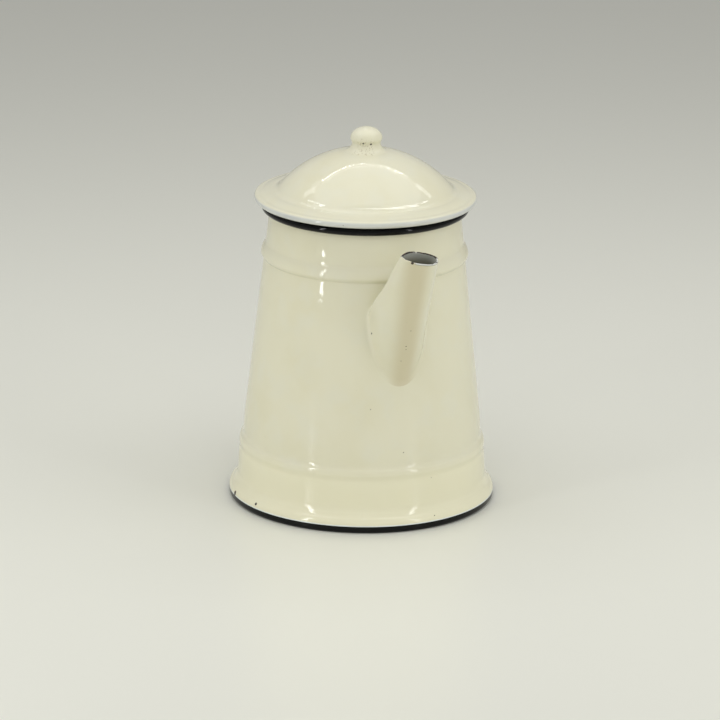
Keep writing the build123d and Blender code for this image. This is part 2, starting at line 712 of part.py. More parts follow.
# Hinge pin, with a head outside each ear
pin_head_y = ear_out_y + seam_gap
with BuildPart() as hinge_pin:
    for side in (-1, 1):
        with BuildSketch(Plane.XZ.offset(side * pin_head_y - pin_head_h * (1 - side) / 2)):
            with Locations(pin_at):
                Circle(pin_head_r)
        extrude(amount=pin_head_h)
        fillet(hinge_pin.edges(Select.LAST).sort_by(Axis.Y)[-1 if side < 0 else 0], pin_head_h * 0.8)
    with BuildSketch(Plane.XZ.offset(-pin_head_y)):
        with Locations(pin_at):
            Circle(pin_r)
    extrude(amount=2 * pin_head_y)
hinge_pin.part.label = "hinge_pin"
export_step(hinge_pin.part, "parts/hinge_pin.step")

# Rivets: the grip runs from under the head to past the inside of the sheet
tail_sag = rivet_tail_r**2 / (2 * neck_r)
hinge_rivets = rivet_pair(hinge_rivet_planes, hinge_head_lift + sheet + seam_gap + tail_sag)
hinge_rivets.label = "hinge_rivets"
export_step(hinge_rivets, "parts/hinge_rivets.step")

strap_rivets = rivet_pair(strap_rivet_planes, strap_head_lift + sheet + seam_gap + tail_sag)
strap_rivets.label = "strap_rivets"
export_step(strap_rivets, "parts/strap_rivets.step")

leaf_rivets = rivet_pair(leaf_rivet_planes, leaf_head_lift + sheet + 2 * seam_gap + tail_sag)
leaf_rivets.label = "leaf_rivets"
export_step(leaf_rivets, "parts/leaf_rivets.step")
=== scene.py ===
"""Enamel coffee pot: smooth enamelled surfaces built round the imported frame.

Lengths are in millimetres until a mesh is made, and the lamps and the camera are placed in metres.
Outlines take their angles in degrees, and the spout's surface in radians. The pot's axis is Z, the
spout points to +X, and the handle and the hinge are at -X.
"""
import json

import bpy
import numpy as np
from mathutils import Matrix, Vector


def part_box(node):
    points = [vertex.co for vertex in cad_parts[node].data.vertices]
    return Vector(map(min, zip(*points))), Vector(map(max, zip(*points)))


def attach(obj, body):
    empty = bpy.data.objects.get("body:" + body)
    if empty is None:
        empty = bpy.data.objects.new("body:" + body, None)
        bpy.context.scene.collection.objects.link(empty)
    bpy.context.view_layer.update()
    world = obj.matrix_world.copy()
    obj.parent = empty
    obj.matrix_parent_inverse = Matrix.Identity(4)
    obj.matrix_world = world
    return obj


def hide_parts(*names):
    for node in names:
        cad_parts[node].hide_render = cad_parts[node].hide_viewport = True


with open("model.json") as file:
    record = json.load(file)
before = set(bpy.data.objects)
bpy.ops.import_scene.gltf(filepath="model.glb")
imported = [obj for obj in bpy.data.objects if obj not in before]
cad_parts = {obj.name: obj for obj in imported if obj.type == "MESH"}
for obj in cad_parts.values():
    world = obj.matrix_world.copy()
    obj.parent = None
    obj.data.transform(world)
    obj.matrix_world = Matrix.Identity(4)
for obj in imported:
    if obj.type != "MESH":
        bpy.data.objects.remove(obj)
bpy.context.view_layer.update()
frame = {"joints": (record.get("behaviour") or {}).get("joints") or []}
scene = bpy.context.scene

MM = 0.001
TURNS = 240   # facets round the pot
SHARP = 35.0  # an edge that turns by more is hard


def low(node):
    """Lowest corner of a frame node, in millimetres."""
    return np.array(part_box(node)[0]) / MM


def high(node):
    """Highest corner of a frame node, in millimetres."""
    return np.array(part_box(node)[1]) / MM


# Sizes that the frame gives
rim_r, _, rim_top_z = high("rim_roll")
neck_z, body_low_z = high("body_wall")[2], low("body_wall")[2]
waist_z = high("foot_skirt")[2]
foot_r, _, black_edge_z = high("foot_roll")
floor_z = high("base_pan")[2]
_, brim_r, dome_top_z = high("lid_shell")
flange_r, _, flange_top_z = high("lid_collar")
collar_low_z = low("lid_collar")[2]
knob_foot_r, _, knob_top_z = high("knob")
leaf_half_w = high("lid_leaf")[1]
strap_half_w = high("handle_strap")[1]
ear_out_y = high("hinge_bracket")[1]
bracket_low_z = low("hinge_bracket")[2]
pin_x, pin_z = [1000 * frame["joints"][0]["pos_m"][axis] for axis in (0, 2)]

# The maker's own sizes
sheet = 1.0
seam_gap = 0.05
waist_r = 61.39
wall_foot_r = 60.95
neck_r = 48.44
rim_flare_r = 3.3
rim_roll_r = 2.0
bead_z = 128.5
bead_below, bead_above = 2.7, 5.1  # how far it reaches from its highest line
bead_rise = 1.75
foot_roll_r = 1.85
foot_contact = 0.15
brim_roll_r = 1.9
brim_slope = 10.3
brim_w = 9.36
dome_fillet_r = 4.5
collar_r = 45.44
knob_r = 8.1
knob_half_h = 5.75
spout_lean = 40.0
spout_wall = 1.0
strap_t = 1.3
bracket_t = 1.2
leaf_t = 1.2
knuckle_r = 2.3
ear_r = 2.6
rivet_r = 1.3
rivet_half_gap = 4.6
knob_hole_r = 2.05
taper = (waist_r - neck_r) / (neck_z - waist_z)
tilt = np.arctan(taper)


def cone_r(z):
    """Outside radius of the body's cone at a height."""
    return waist_r - taper * (z - waist_z)


# Outlines and grids

def unit(ways):
    """Directions divided by their lengths."""
    return ways / np.linalg.norm(ways, axis=-1, keepdims=True)


def heading(way):
    """Angle of a direction in its plane, in degrees."""
    return np.degrees(np.arctan2(way[1], way[0]))


def downwards(lean):
    """Direction (radius, height) that points down and leans outwards by some degrees."""
    return np.array([np.sin(np.radians(lean)), -np.cos(np.radians(lean))])


def eased(reach, count):
    """Distances from 0 to reach, close together at the start."""
    return reach * (1 - np.cos(np.linspace(0, np.pi / 2, count)))


def round_off(to_edge, radius):
    """How far a quarter circle of a radius draws a surface in, at distances from its edge."""
    return radius - np.sqrt(radius**2 - np.clip(radius - to_edge, 0, radius) ** 2)


def run_length(route):
    """Length along a route up to each of its points."""
    return np.concatenate([[0], np.cumsum(np.linalg.norm(np.diff(route, axis=0), axis=1))])


def walked(route, run, at):
    """Points of a route at the lengths at, and the unit normals on its left there."""
    line = np.column_stack([np.interp(at, run, route[:, k]) for k in (0, 1)])
    way = unit(np.gradient(line, at, axis=0))
    return line, np.column_stack([-way[:, 1], way[:, 0]])


def arc(centre, radius, start, end, steps=10):
    """Points of a circle's arc from one angle to another, on equal steps of angle."""
    a = np.radians(np.linspace(start, end, steps + 1))
    return np.column_stack([centre[0] + radius * np.cos(a), centre[1] + radius * np.sin(a)])


def rounded(corners, closed=True, steps=6):
    """Outline through corners (x, y, radius).

    A corner with a radius becomes the arc that touches both its sides."""
    spots = np.array([corner[:2] for corner in corners], float)
    runs = []
    for i, corner in enumerate(corners):
        end_corner = not closed and i in (0, len(corners) - 1)
        if end_corner or len(corner) < 3 or corner[2] == 0:
            runs.append(spots[i][None])
            continue
        back = unit(spots[i - 1] - spots[i])
        ahead = unit(spots[(i + 1) % len(spots)] - spots[i])
        half = 0.5 * np.arccos(np.clip(back @ ahead, -1, 1))
        centre = spots[i] + unit(back + ahead) * corner[2] / np.sin(half)
        reach = corner[2] / np.tan(half)
        first = heading(spots[i] + back * reach - centre)
        last = heading(spots[i] + ahead * reach - centre)
        turn = (last - first + 180) % 360 - 180
        runs.append(arc(centre, corner[2], first, first + turn, steps))
    return np.concatenate(runs)


def flow(start, start_way, end, end_way, steps=14):
    """Cubic curve from start to end.

    It leaves and arrives along the two ways, whose lengths set how long it follows them."""
    t = np.linspace(0, 1, steps + 1)[:, None]
    start, start_way, end, end_way = (np.array(v, float) for v in (start, start_way, end, end_way))
    return (
        (2 * t**3 - 3 * t**2 + 1) * start
        + (t**3 - 2 * t**2 + t) * start_way
        + (3 * t**2 - 2 * t**3) * end
        + (t**3 - t**2) * end_way
    )


def through(nodes, steps=10):
    """Smooth outline through nodes (radius, height, lean), with a cubic between each two neighbours.

    It passes each node pointing down and outwards by lean degrees."""
    runs = [np.array([nodes[0][:2]])]
    for start, end in zip(nodes[:-1], nodes[1:]):
        length = np.hypot(end[0] - start[0], end[1] - start[1])
        ways = [length * downwards(node[2]) for node in (start, end)]
        runs.append(flow(start[:2], ways[0], end[:2], ways[1], steps)[1:])
    return np.concatenate(runs)


def supported(points, guard=0.2, longest=4.0):
    """The same outline with points added on its long straights: one close to each end, the rest evenly.

    They keep the smooth shading of a bend from leaking along the straight beside it."""
    runs = []
    for start, end in zip(points[:-1], points[1:]):
        length = np.linalg.norm(end - start)
        share = np.zeros(1)
        if length > 6 * guard:
            inner = np.linspace(guard, length - guard, max(2, int(length / longest) + 1))
            share = np.concatenate([[0], inner / length])
        runs.append(start + share[:, None] * (end - start))
    return np.concatenate(runs + [points[-1:]])


def joined(*parts):
    """Several (points, faces, finishes) meshes as one."""
    points, faces, finishes, count = [], [], [], 0
    for part_points, part_faces, part_finishes in parts:
        points.append(part_points)
        faces += [[corner + count for corner in face] for face in part_faces]
        finishes += list(part_finishes)
        count += len(part_points)
    return np.concatenate(points), faces, finishes


def quads(*corners):
    """Faces with four corners, from four grids of point numbers."""
    return np.stack(corners, axis=-1).reshape(-1, 4).tolist()


def lathe(*runs, turns=TURNS, place=None):
    """A turned piece: an outline of (radius, height) points carried round Z.

    The runs lie end to end, each with its own finish, and come back to the start unless both ends
    are on the axis, where a fan of triangles closes the piece. place moves the finished points."""
    dense = [supported(np.asarray(run, float)) for run in runs]
    outline = np.concatenate([run[:-1] for run in dense] + [dense[-1][-1:]])
    finish = np.concatenate([np.full(len(run) - 1, i) for i, run in enumerate(dense)])
    poles = outline[0, 0] < 1e-6 and outline[-1, 0] < 1e-6
    following = np.roll(outline, -1, axis=0)
    if (outline[:, 0] * following[:, 1] - following[:, 0] * outline[:, 1]).sum() < 0:
        outline, finish = outline[::-1], finish[::-1]
    ring = outline[1:-1] if poles else outline[:-1]
    count = len(ring)
    angle = np.linspace(0, 2 * np.pi, turns, endpoint=False)
    radius, z = ring[:, :1], ring[:, 1:]
    grid = np.broadcast_arrays(radius * np.cos(angle), radius * np.sin(angle), z)
    points = np.stack(grid, axis=-1).reshape(-1, 3)
    j = np.arange(turns)
    after = (j + 1) % turns
    i = np.arange(count - 1 if poles else count)[:, None]
    nxt = (i + 1) % count
    faces = quads(i * turns + j, i * turns + after, nxt * turns + after, nxt * turns + j)
    finishes = np.repeat(finish[1:-1] if poles else finish, turns).tolist()
    if poles:
        bottom, top = len(points), len(points) + 1
        last = (count - 1) * turns
        points = np.concatenate([points, [[0, 0, outline[0, 1]], [0, 0, outline[-1, 1]]]])
        faces += [[bottom, b, a] for a, b in zip(j.tolist(), after.tolist())]
        faces += [[top, last + a, last + b] for a, b in zip(j.tolist(), after.tolist())]
        finishes += [int(finish[0])] * turns + [int(finish[-1])] * turns
    if place is not None:
        points = place(points)
    return points, faces, finishes


def shell(outer, inner, finishes=(0, 0, 0)):
    """A curved plate between two grids of the same shape, closed along its four edges."""
    rows, columns = outer.shape[:2]
    shift = rows * columns
    index = np.arange(shift).reshape(rows, columns)
    under = index + shift
    out = quads(index[:-1, :-1], index[1:, :-1], index[1:, 1:], index[:-1, 1:])
    inn = quads(under[:-1, :-1], under[:-1, 1:], under[1:, 1:], under[1:, :-1])
    border = np.concatenate([index[0, :], index[1:, -1], index[-1, -2::-1], index[-2:0:-1, 0]])
    beyond = np.roll(border, -1)
    edge = quads(border, beyond, beyond + shift, border + shift)
    points = np.concatenate([outer.reshape(-1, 3), inner.reshape(-1, 3)])
    kinds = [finishes[0]] * len(out) + [finishes[1]] * len(inn) + [finishes[2]] * len(edge)
    return points, out + inn + edge, kinds


def carried(sections):
    """A tube through closed sections (stations, points, 3), with a flat cap at each end."""
    stations, count = sections.shape[:2]
    index = np.arange(stations * count).reshape(stations, count)
    turned = np.roll(index, -1, axis=1)
    faces = quads(index[:-1], index[1:], turned[1:], turned[:-1])
    faces += [index[0].tolist(), index[-1][::-1].tolist()]
    return sections.reshape(-1, 3), faces, [0] * len(faces)


def plate(outline, thickness, round_r, steps=4):
    """A flat plate, its thickness along the third axis.

    The outline is drawn in by a quarter circle towards each face, then capped."""
    way = unit(np.roll(outline, -1, axis=0) - np.roll(outline, 1, axis=0))
    inwards = np.column_stack([-way[:, 1], way[:, 0]])
    area = (outline[:, 0] * np.roll(outline[:, 1], -1) - np.roll(outline[:, 0], -1) * outline[:, 1]).sum()
    inwards *= np.sign(area)
    a = np.radians(np.linspace(0, 90, steps + 1))
    inset = round_r * (1 - np.cos(a))
    lift = thickness / 2 - round_r * (1 - np.sin(a))
    inset = np.concatenate([inset[::-1], inset])
    lift = np.concatenate([-lift[::-1], lift])
    flat = outline[None] + inset[:, None, None] * inwards[None]
    sections = np.concatenate([flat, np.broadcast_to(lift[:, None, None], flat.shape[:2] + (1,))], axis=2)
    return carried(sections)


def axes(origin, x_way, y_way, z_way):
    """A placing: local x, y and z laid along three directions from an origin."""
    ways = np.array([x_way, y_way, z_way], float)
    return lambda points: np.asarray(origin, float) + points @ ways


def placed(name, data):
    """An object with this data, linked to the scene."""
    obj = bpy.data.objects.new(name, data)
    scene.collection.objects.link(obj)
    return obj


def piece(name, body, materials, mesh_parts, replaces, sharp=SHARP):
    """Makes the object: smooth shading, hard edges above an angle, and its place in the frame."""
    points, faces, finishes = mesh_parts
    mesh = bpy.data.meshes.new(name)
    mesh.from_pydata((np.asarray(points) * MM).tolist(), [], faces)
    for material in materials:
        mesh.materials.append(material)
    mesh.polygons.foreach_set("material_index", np.array(finishes, np.int32))
    mesh.polygons.foreach_set("use_smooth", np.ones(len(mesh.polygons), bool))
    mesh.set_sharp_from_angle(angle=np.radians(sharp))
    mesh.update()
    obj = placed(name, mesh)
    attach(obj, body)
    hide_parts(*replaces)
    return obj


# Materials

class Value:
    """One output of a material's nodes. Arithmetic on it adds Math nodes."""

    def __init__(self, finish, socket):
        self.finish = finish
        self.socket = socket

    def math(self, operation, *others):
        inputs = dict(enumerate([self, *others]))
        return self.finish.node("ShaderNodeMath", {"operation": operation}, inputs)

    def __add__(self, other):
        return self.math("ADD", other)

    def __sub__(self, other):
        return self.math("SUBTRACT", other)

    def __mul__(self, other):
        return self.math("MULTIPLY", other)

    def __truediv__(self, other):
        return self.math("DIVIDE", other)

    def least(self, other):
        return self.math("MINIMUM", other)

    def most(self, other):
        return self.math("MAXIMUM", other)

    def step(self, start, end):
        """0 before start and 1 after end, with a soft rise between; start may be the larger."""
        settings = {"interpolation_type": "SMOOTHSTEP"}
        if start < end:
            return self.finish.node("ShaderNodeMapRange", settings, {0: self, 1: start, 2: end})
        return self.finish.node("ShaderNodeMapRange", settings, {0: self, 1: end, 2: start, 3: 1.0, 4: 0.0})


class Finish:
    """A material in the making: a Principled shader and the nodes that feed it."""

    def __init__(self, name, **constants):
        self.material = bpy.data.materials.new(name)
        self.material.use_nodes = True
        self.tree = self.material.node_tree
        self.shader = self.tree.nodes["Principled BSDF"]
        for socket, value in constants.items():
            self.shader.inputs[socket.replace("_", " ")].default_value = value
        self.place = self.node("ShaderNodeTexCoord", {}, {}, output="Object")

    def node(self, kind, settings, inputs, output=0):
        """Adds a node, sets its settings, then fills its sockets with values or links."""
        made = self.tree.nodes.new(kind)
        for setting, value in settings.items():
            setattr(made, setting, value)
        for socket, value in inputs.items():
            if isinstance(value, Value):
                self.tree.links.new(value.socket, made.inputs[socket])
            else:
                made.inputs[socket].default_value = value
        return Value(self, made.outputs[output])

    def feed(self, socket, value):
        """Links a value to one of the shader's sockets."""
        self.tree.links.new(value.socket, self.shader.inputs[socket])

    def noise(self, size, detail=2.0, roughness=0.5):
        """Noise whose lumps are about size millimetres across."""
        inputs = {"Vector": self.place, "Scale": 1 / (size * MM), "Detail": detail, "Roughness": roughness}
        return self.node("ShaderNodeTexNoise", {}, inputs)

    def mix(self, share, first, second):
        """Colour between first and second."""
        return self.node("ShaderNodeMix", {"data_type": "RGBA"}, {0: share, 6: first, 7: second}, output=2)

    def axis(self, name):
        """Millimetres along one axis of the shared frame."""
        return self.node("ShaderNodeSeparateXYZ", {}, {0: self.place}, output=name) / MM

    def distance(self, spot):
        """Millimetres from a point."""
        inputs = {0: self.place, 1: [value * MM for value in spot]}
        return self.node("ShaderNodeVectorMath", {"operation": "DISTANCE"}, inputs, output="Value") / MM

    def along(self, origin, way):
        """Millimetres beyond a plane through origin, square to way."""
        way = unit(np.array(way, float))
        inputs = {0: self.place, 1: way.tolist()}
        dot = self.node("ShaderNodeVectorMath", {"operation": "DOT_PRODUCT"}, inputs, output="Value")
        return dot / MM - float(np.dot(origin, way))

    def bump(self, height, depth):
        """Tilts the surface by a height of 0 to 1, worth depth millimetres."""
        inputs = {"Height": height, "Distance": depth * MM, "Strength": 1.0}
        self.feed("Normal", self.node("ShaderNodeBump", {}, inputs))


def colour(red, green, blue):
    """A screen colour from 0 to 255 as the linear colour that Blender works in."""
    share = np.array([red, green, blue]) / 255
    linear = np.where(share <= 0.04045, share / 12.92, ((share + 0.055) / 1.055) ** 2.4)
    return [*linear.tolist(), 1.0]


CREAM = colour(222, 219, 194)
CREAM_DEEP = colour(216, 211, 178)
CREAM_COOL = colour(220, 219, 200)
IRON = colour(34, 31, 27)
RUST = colour(96, 66, 42)
WHITE = colour(206, 208, 201)
WHITE_GREY = colour(186, 189, 188)
STAINED = colour(202, 201, 188)
# the lining's browner, darker tone deeper down inside the spout
LINING_DEEP_TONE = colour(176, 171, 146)
BLACK = colour(3, 4, 5)
BLACK_WORN = colour(15, 14, 12)
# painted light: the brighter cream of the flare, which faces up towards the floor
SKIRT_PAINTED_LIGHT = colour(231, 227, 197)
GROUND_COAT = colour(226, 233, 229)
# painted shade: the darker brownish tone down the middle of the spout's front, where it faces down
SPOUT_FRONT_SHADE = colour(205, 196, 164)
PITTED = colour(172, 160, 126)
FLOOR = colour(231, 231, 219)
STEEL = colour(150, 147, 140)
STEEL_DULL = colour(104, 98, 90)


def near_spots(finish, spots, fray):
    """1 inside any of the spots (x, y, z, radius) and 0 outside, their edges frayed by a fine noise."""
    ragged = (finish.noise(0.9, 3.0) - 0.5) * fray
    nearest = None
    for x, y, z, radius in spots:
        reach = finish.distance((x, y, z)) / radius
        nearest = reach if nearest is None else nearest.least(reach)
    return (nearest + ragged).step(1.12, 0.88)


def enamel(name, main, deep, cool, spots=(), bare=None, tint=None, deep_share=0.4, index=1.5):
    """Glossy vitreous enamel: a clouded colour, a faint ripple, pinholes, and chips down to the iron.

    bare, if given, makes one more mask of bare iron from the finish, and tint changes its colour."""
    gloss = 0.03
    finish = Finish(name, IOR=index)
    cloud = finish.noise(34.0, 3.0, 0.55).step(0.38, 0.72)
    drift = finish.noise(12.0, 2.0).step(0.45, 0.75)
    tone = finish.mix(cloud * deep_share, main, deep)
    tone = finish.mix(drift * 0.4, tone, cool)
    if tint is not None:
        tone = tint(finish, tone)
    pinhole = finish.noise(1.3, 1.0).step(0.80, 0.84) * finish.noise(9.0, 1.0).step(0.58, 0.66)
    chip = pinhole * 0.8
    if spots:
        chip = chip.most(near_spots(finish, spots, 0.7))
    if bare is not None:
        chip = chip.most(bare(finish))
    iron = finish.mix(finish.noise(0.7, 2.0).step(0.5, 0.7), IRON, RUST)
    finish.feed("Base Color", finish.mix(chip, tone, iron))
    finish.feed("Roughness", chip * 0.5 + gloss)
    ripple = finish.noise(6.5, 1.0) * 0.75 + finish.noise(2.2, 1.0) * 0.12
    finish.bump(ripple - chip * 1.2, 0.055)
    return finish.material


def creamy(name, **more):
    """The pot's cream enamel, with what one piece has of its own."""
    return enamel(name, CREAM, CREAM_DEEP, CREAM_COOL, **more)


def steel(name):
    """Dull drawn steel with a few brown spots."""
    finish = Finish(name, Metallic=1.0)
    worn = finish.noise(2.0, 3.0).step(0.45, 0.7)
    finish.feed("Base Color", finish.mix(worn, STEEL, STEEL_DULL))
    finish.feed("Roughness", worn * 0.2 + 0.32)
    finish.bump(finish.noise(0.8, 2.0), 0.02)
    return finish.material


# Spout

spout_mouth = np.array([84.99, 0.0, 147.7])
spout_root = np.array([50.98, 0.0, 109.0])
lean = np.radians(spout_lean)
run_way = np.array([np.sin(lean), 0.0, np.cos(lean)])
front_way = np.array([np.cos(lean), 0.0, -np.sin(lean)])
side_way = np.array([0.0, -1.0, 0.0])
mouth_tilt_x, mouth_tilt_y = 13.0, 11.4
mouth_way = unit(np.array([np.tan(np.radians(mouth_tilt_x)), np.tan(np.radians(mouth_tilt_y)), 1.0]))
mouth_station = (spout_mouth - spout_root) @ run_way
root_half_w, half_w_loss = 14.6, 0.088  # half its width at the root, and what each mm takes away
mouth_front, front_gain = 7.49, 0.2556  # its depth before the seam, and what each mm below adds
back_depth = 5.7
mouth_shift = 0.6  # how far the mouth sits aside, towards -Y
seam_ridge = 0.3
bulge_h, bulge_station, bulge_spread = 1.5, 12.0, 10.0
weld_leg = 2.3
weld_smoothing = 14  # degrees each way over which the weld's direction is evened


def soft_step(value, start, end):
    """0 before start, 1 after end, with a soft rise between."""
    t = np.clip((value - start) / (end - start), 0, 1)
    return t * t * (3 - 2 * t)


def spout_surface(angle, station, wall=0.0):
    """Points of the spout's surface, wall inside it, at angles round it and stations along the seam.

    A section is half an ellipse in front (angles from 0 to pi) and half an ellipse behind. Towards the
    mouth the -Y side of the half behind sinks to a parabola, which makes the pinched corner. The sizes
    change evenly along the spout, but for a slight bulge near the root at -Y, and a low ridge runs
    along each seam."""
    angle, station = np.broadcast_arrays(angle, station)
    half_w = root_half_w - half_w_loss * station - wall
    front = mouth_front + front_gain * (mouth_station - station) - wall
    back = back_depth - wall
    rise = np.abs(np.sin(angle))
    pinch = soft_step(station, 4.0, 46.0) * soft_step(np.cos(angle), -0.6, 0.4)
    depth = np.where(angle < np.pi, front * rise, -back * rise ** (1 + pinch))
    ridge = seam_ridge * np.exp(-((rise / 0.06) ** 2)) if wall == 0 else 0.0
    swell = bulge_h * np.exp(-(((station - bulge_station) / bulge_spread) ** 2))
    bulge = swell * soft_step(np.cos(angle), 0.0, 0.8)
    across = (half_w + ridge + bulge) * np.cos(angle) + mouth_shift * station / mouth_station
    flat = across[..., None] * side_way + depth[..., None] * front_way
    return spout_root + station[..., None] * run_way + flat


def crossing(values, stations):
    """Station where each column of values first rises through zero, by a straight line between samples."""
    after = np.argmax(values > 0, axis=0)
    column = np.arange(values.shape[1])
    low_value, high_value = values[after - 1, column], values[after, column]
    gap = stations[after] - stations[after - 1]
    return stations[after - 1] - low_value * gap / (high_value - low_value)


def on_cone(points, lift):
    """The points moved level until they lie lift outside the cone."""
    share = (cone_r(points[..., 2]) + lift) / np.hypot(points[..., 0], points[..., 1])
    return points * np.stack([share, share, np.ones_like(share)], axis=-1)


def mouth_drop(angle):
    """How far the mouth's edge lies below its plane: a slight wave and a few nicks."""
    drop = 0.22 + 0.07 * np.sin(3 * angle + 1.0) + 0.05 * np.sin(7 * angle)
    for at, spread, depth in ((4.66, 0.05, 0.5), (4.30, 0.12, 0.15), (2.20, 0.07, 0.3), (0.45, 0.06, 0.25)):
        drop = drop + depth * np.exp(-(((angle - at) / spread) ** 2))
    return drop


def spout_ends(angle, wall):
    """Stations where the spout's surface leaves the body's cone and where its rim begins, for each angle.

    They are found among samples from well inside the pot to well beyond the mouth."""
    stations = np.linspace(-34.0, mouth_station + 14.0, 1200)
    points = spout_surface(angle, stations[:, None], wall)
    outside_wall = np.hypot(points[..., 0], points[..., 1]) - cone_r(points[..., 2])
    above_rim = (points - spout_mouth) @ mouth_way + mouth_drop(angle) + 0.5 * spout_wall
    return crossing(outside_wall, stations), crossing(above_rim, stations)


def spout_half(first, last, steps):
    """One stamping of the spout, between two angles.

    Its outside starts on the wall as a weld fillet (a quadratic curve between the two surfaces) and runs
    up to the mouth's rounded edge. Its inside has the same rows, a wall's thickness inside."""
    round_all = np.linspace(0, 2 * np.pi, 361)[:-1]
    ring = spout_surface(round_all, spout_ends(round_all, 0.0)[0])
    tangent = np.roll(ring, -1, axis=0) - np.roll(ring, 1, axis=0)
    wall_normal = ring * [1, 1, 0]
    wall_normal[:, 2] = taper * np.hypot(ring[:, 0], ring[:, 1])
    aside = unit(np.cross(tangent, wall_normal))
    aside *= np.sign(((ring - ring.mean(axis=0)) * aside).sum(axis=1))[:, None]
    shifts = range(-weld_smoothing, weld_smoothing + 1)
    aside = unit(np.mean([np.roll(aside, k, axis=0) for k in shifts], axis=0))

    angle = np.linspace(first, last, steps + 1)
    aside = np.stack([np.interp(angle, round_all, aside[:, k], period=2 * np.pi) for k in range(3)], axis=1)
    start, rim = spout_ends(angle, 0.0)
    foot = spout_surface(angle, start)
    skirt = on_cone(foot + aside * weld_leg, -0.05)
    t = np.linspace(0, 1, 11)[:, None]
    rise = spout_surface(angle, start + weld_leg * t)
    t = t[..., None]
    weld = (1 - t) ** 2 * skirt + 2 * t * (1 - t) * foot + t**2 * rise[-1]
    share = np.linspace(0, 1, 41)[1:, None]
    tube = spout_surface(angle, start + weld_leg + share * (rim - start - weld_leg))
    in_start, in_rim = spout_ends(angle, spout_wall)
    in_low = in_start + weld_leg * np.linspace(0, 1, 11)[:, None]
    in_high = in_start + weld_leg + share * (in_rim - in_start - weld_leg)
    in_tube = spout_surface(angle, np.concatenate([in_low, in_high]), spout_wall)
    bend = np.radians(np.linspace(0, 90, 5))[1:, None, None]
    middle = (tube[-1] + in_tube[-1]) / 2
    top = run_way * 0.5 * spout_wall * np.sin(bend)
    lip = middle + (tube[-1] - middle) * np.cos(bend) + top
    in_lip = middle + (in_tube[-1] - middle) * np.cos(bend) + top
    outer = np.concatenate([weld, tube, lip]).transpose(1, 0, 2)[::-1]
    inner = np.concatenate([in_tube, in_lip]).transpose(1, 0, 2)[::-1]
    return shell(outer, inner, (0, 1, 0))


# Looks of the enamel on each piece

cream = creamy("cream_enamel")
white = enamel("white_enamel", WHITE, WHITE_GREY, WHITE, deep_share=0.8)
black = enamel("black_enamel", BLACK, BLACK_WORN, BLACK, deep_share=0.3, index=1.3)
drawn_steel = steel("drawn_steel")


def mouth_bare(finish):
    """Bare iron along the spout's mouth: a frayed line round the half behind."""
    below = finish.along(spout_mouth, mouth_way)
    behind = finish.along(spout_root, -front_way).step(-0.8, 0.6)
    return (below + finish.noise(2.2, 3.0) * 1.3).step(-0.35, -0.05) * behind


def spout_shade_and_wear(finish, tone):
    """Painted shade down the spout's front: a brownish band where the front faces down, and the mouth's
    edge, worn through to the white ground coat with a thin dark line under it."""
    off_middle = finish.axis("Y") + finish.along(spout_root, run_way) * (3.5 / mouth_station)
    # painted shade: a brownish band down the middle of the front, where the spout faces down
    shade_band = off_middle.math("ABSOLUTE").step(9.5, 1.5)
    front = finish.along(spout_root, front_way).step(1.0, 6.0)
    tone = finish.mix(shade_band * front * 0.8, tone, SPOUT_FRONT_SHADE)
    below = finish.along(spout_mouth, mouth_way) + finish.noise(1.6, 2.0) * 0.3
    worn_side = front * finish.along((0, 0, 0), side_way).step(5.6, 4.2)
    line = below.step(-1.15, -0.95) * worn_side
    tone = finish.mix(line * 0.55, tone, IRON)
    return finish.mix(below.step(-0.85, -0.7) * worn_side, tone, WHITE)


mouth_spots = [(90.1, -6.3, 147.0, 0.75), (86.5, 7.5, 145.5, 0.6)]
spout_spots = [
    (53.8, -14.3, 101.3, 0.5),
    (72.1, 0.0, 106.8, 0.25),
    (67.6, -0.8, 97.5, 0.28),
    (66.8, -0.5, 95.6, 0.22),
    (63.3, -1.8, 88.7, 0.25),
]
spout_cream = creamy("spout_enamel", spots=mouth_spots + spout_spots, bare=mouth_bare, tint=spout_shade_and_wear)


def lining_tint(finish, tone):
    """The spout's white lining, browner and darker deeper down below the mouth."""
    return finish.mix(finish.along(spout_mouth, mouth_way).step(-2.0, -11.0), tone, LINING_DEEP_TONE)


spout_white = enamel("spout_lining", WHITE, STAINED, WHITE, mouth_spots, mouth_bare, lining_tint)


def skirt_light_and_ground_coat(finish, tone):
    """A brighter, warmer cream on the flare, painted light where it faces up towards the floor, and its
    lowest line, where the cream thins out over the white ground coat above the black edge."""
    height = finish.axis("Z")
    # painted light: the flare lighter towards the bottom, where it faces up
    tone = finish.mix(height.step(33.0, 24.0) * 0.7, tone, SKIRT_PAINTED_LIGHT)
    ragged = height + finish.noise(3.0, 2.0) * 0.5
    return finish.mix(ragged.step(black_edge_z + 1.0, black_edge_z + 0.5), tone, GROUND_COAT)


body_spots = [(60.6, 1.4, 39.6, 0.28), (56.3, -15.0, 62.4, 0.25)]
skirt_spots = [
    (-0.8, -67.7, 4.6, 1.3),
    (21.8, -63.8, 5.9, 0.75),
    (60.7, 16.5, 25.0, 0.28),
    (65.0, 17.0, 6.2, 0.3),
]
knob_spots = [(6.8, -4.0, 186.3, 0.5), (7.7, -0.1, 185.9, 0.6)]
body_cream = creamy("body_enamel", spots=body_spots)
skirt_cream = creamy("skirt_enamel", spots=skirt_spots, tint=skirt_light_and_ground_coat)

# Body

skirt_top = (60.84, 34.2)  # where the skirt's upper edge comes out of the wall


def bead(z):
    """How far the raised bead stands out of the cone.

    It is a short parabola below its highest line and a long one above, softened where they meet the
    cone and left out far away."""
    rise = bead_rise * (1 - ((z - bead_z) / np.where(z < bead_z, bead_below, bead_above)) ** 2)
    soft = np.where(z < bead_z, 0.10, 0.35)
    return 0.5 * (rise + np.sqrt(rise**2 + soft**2)) * (rise > -4)


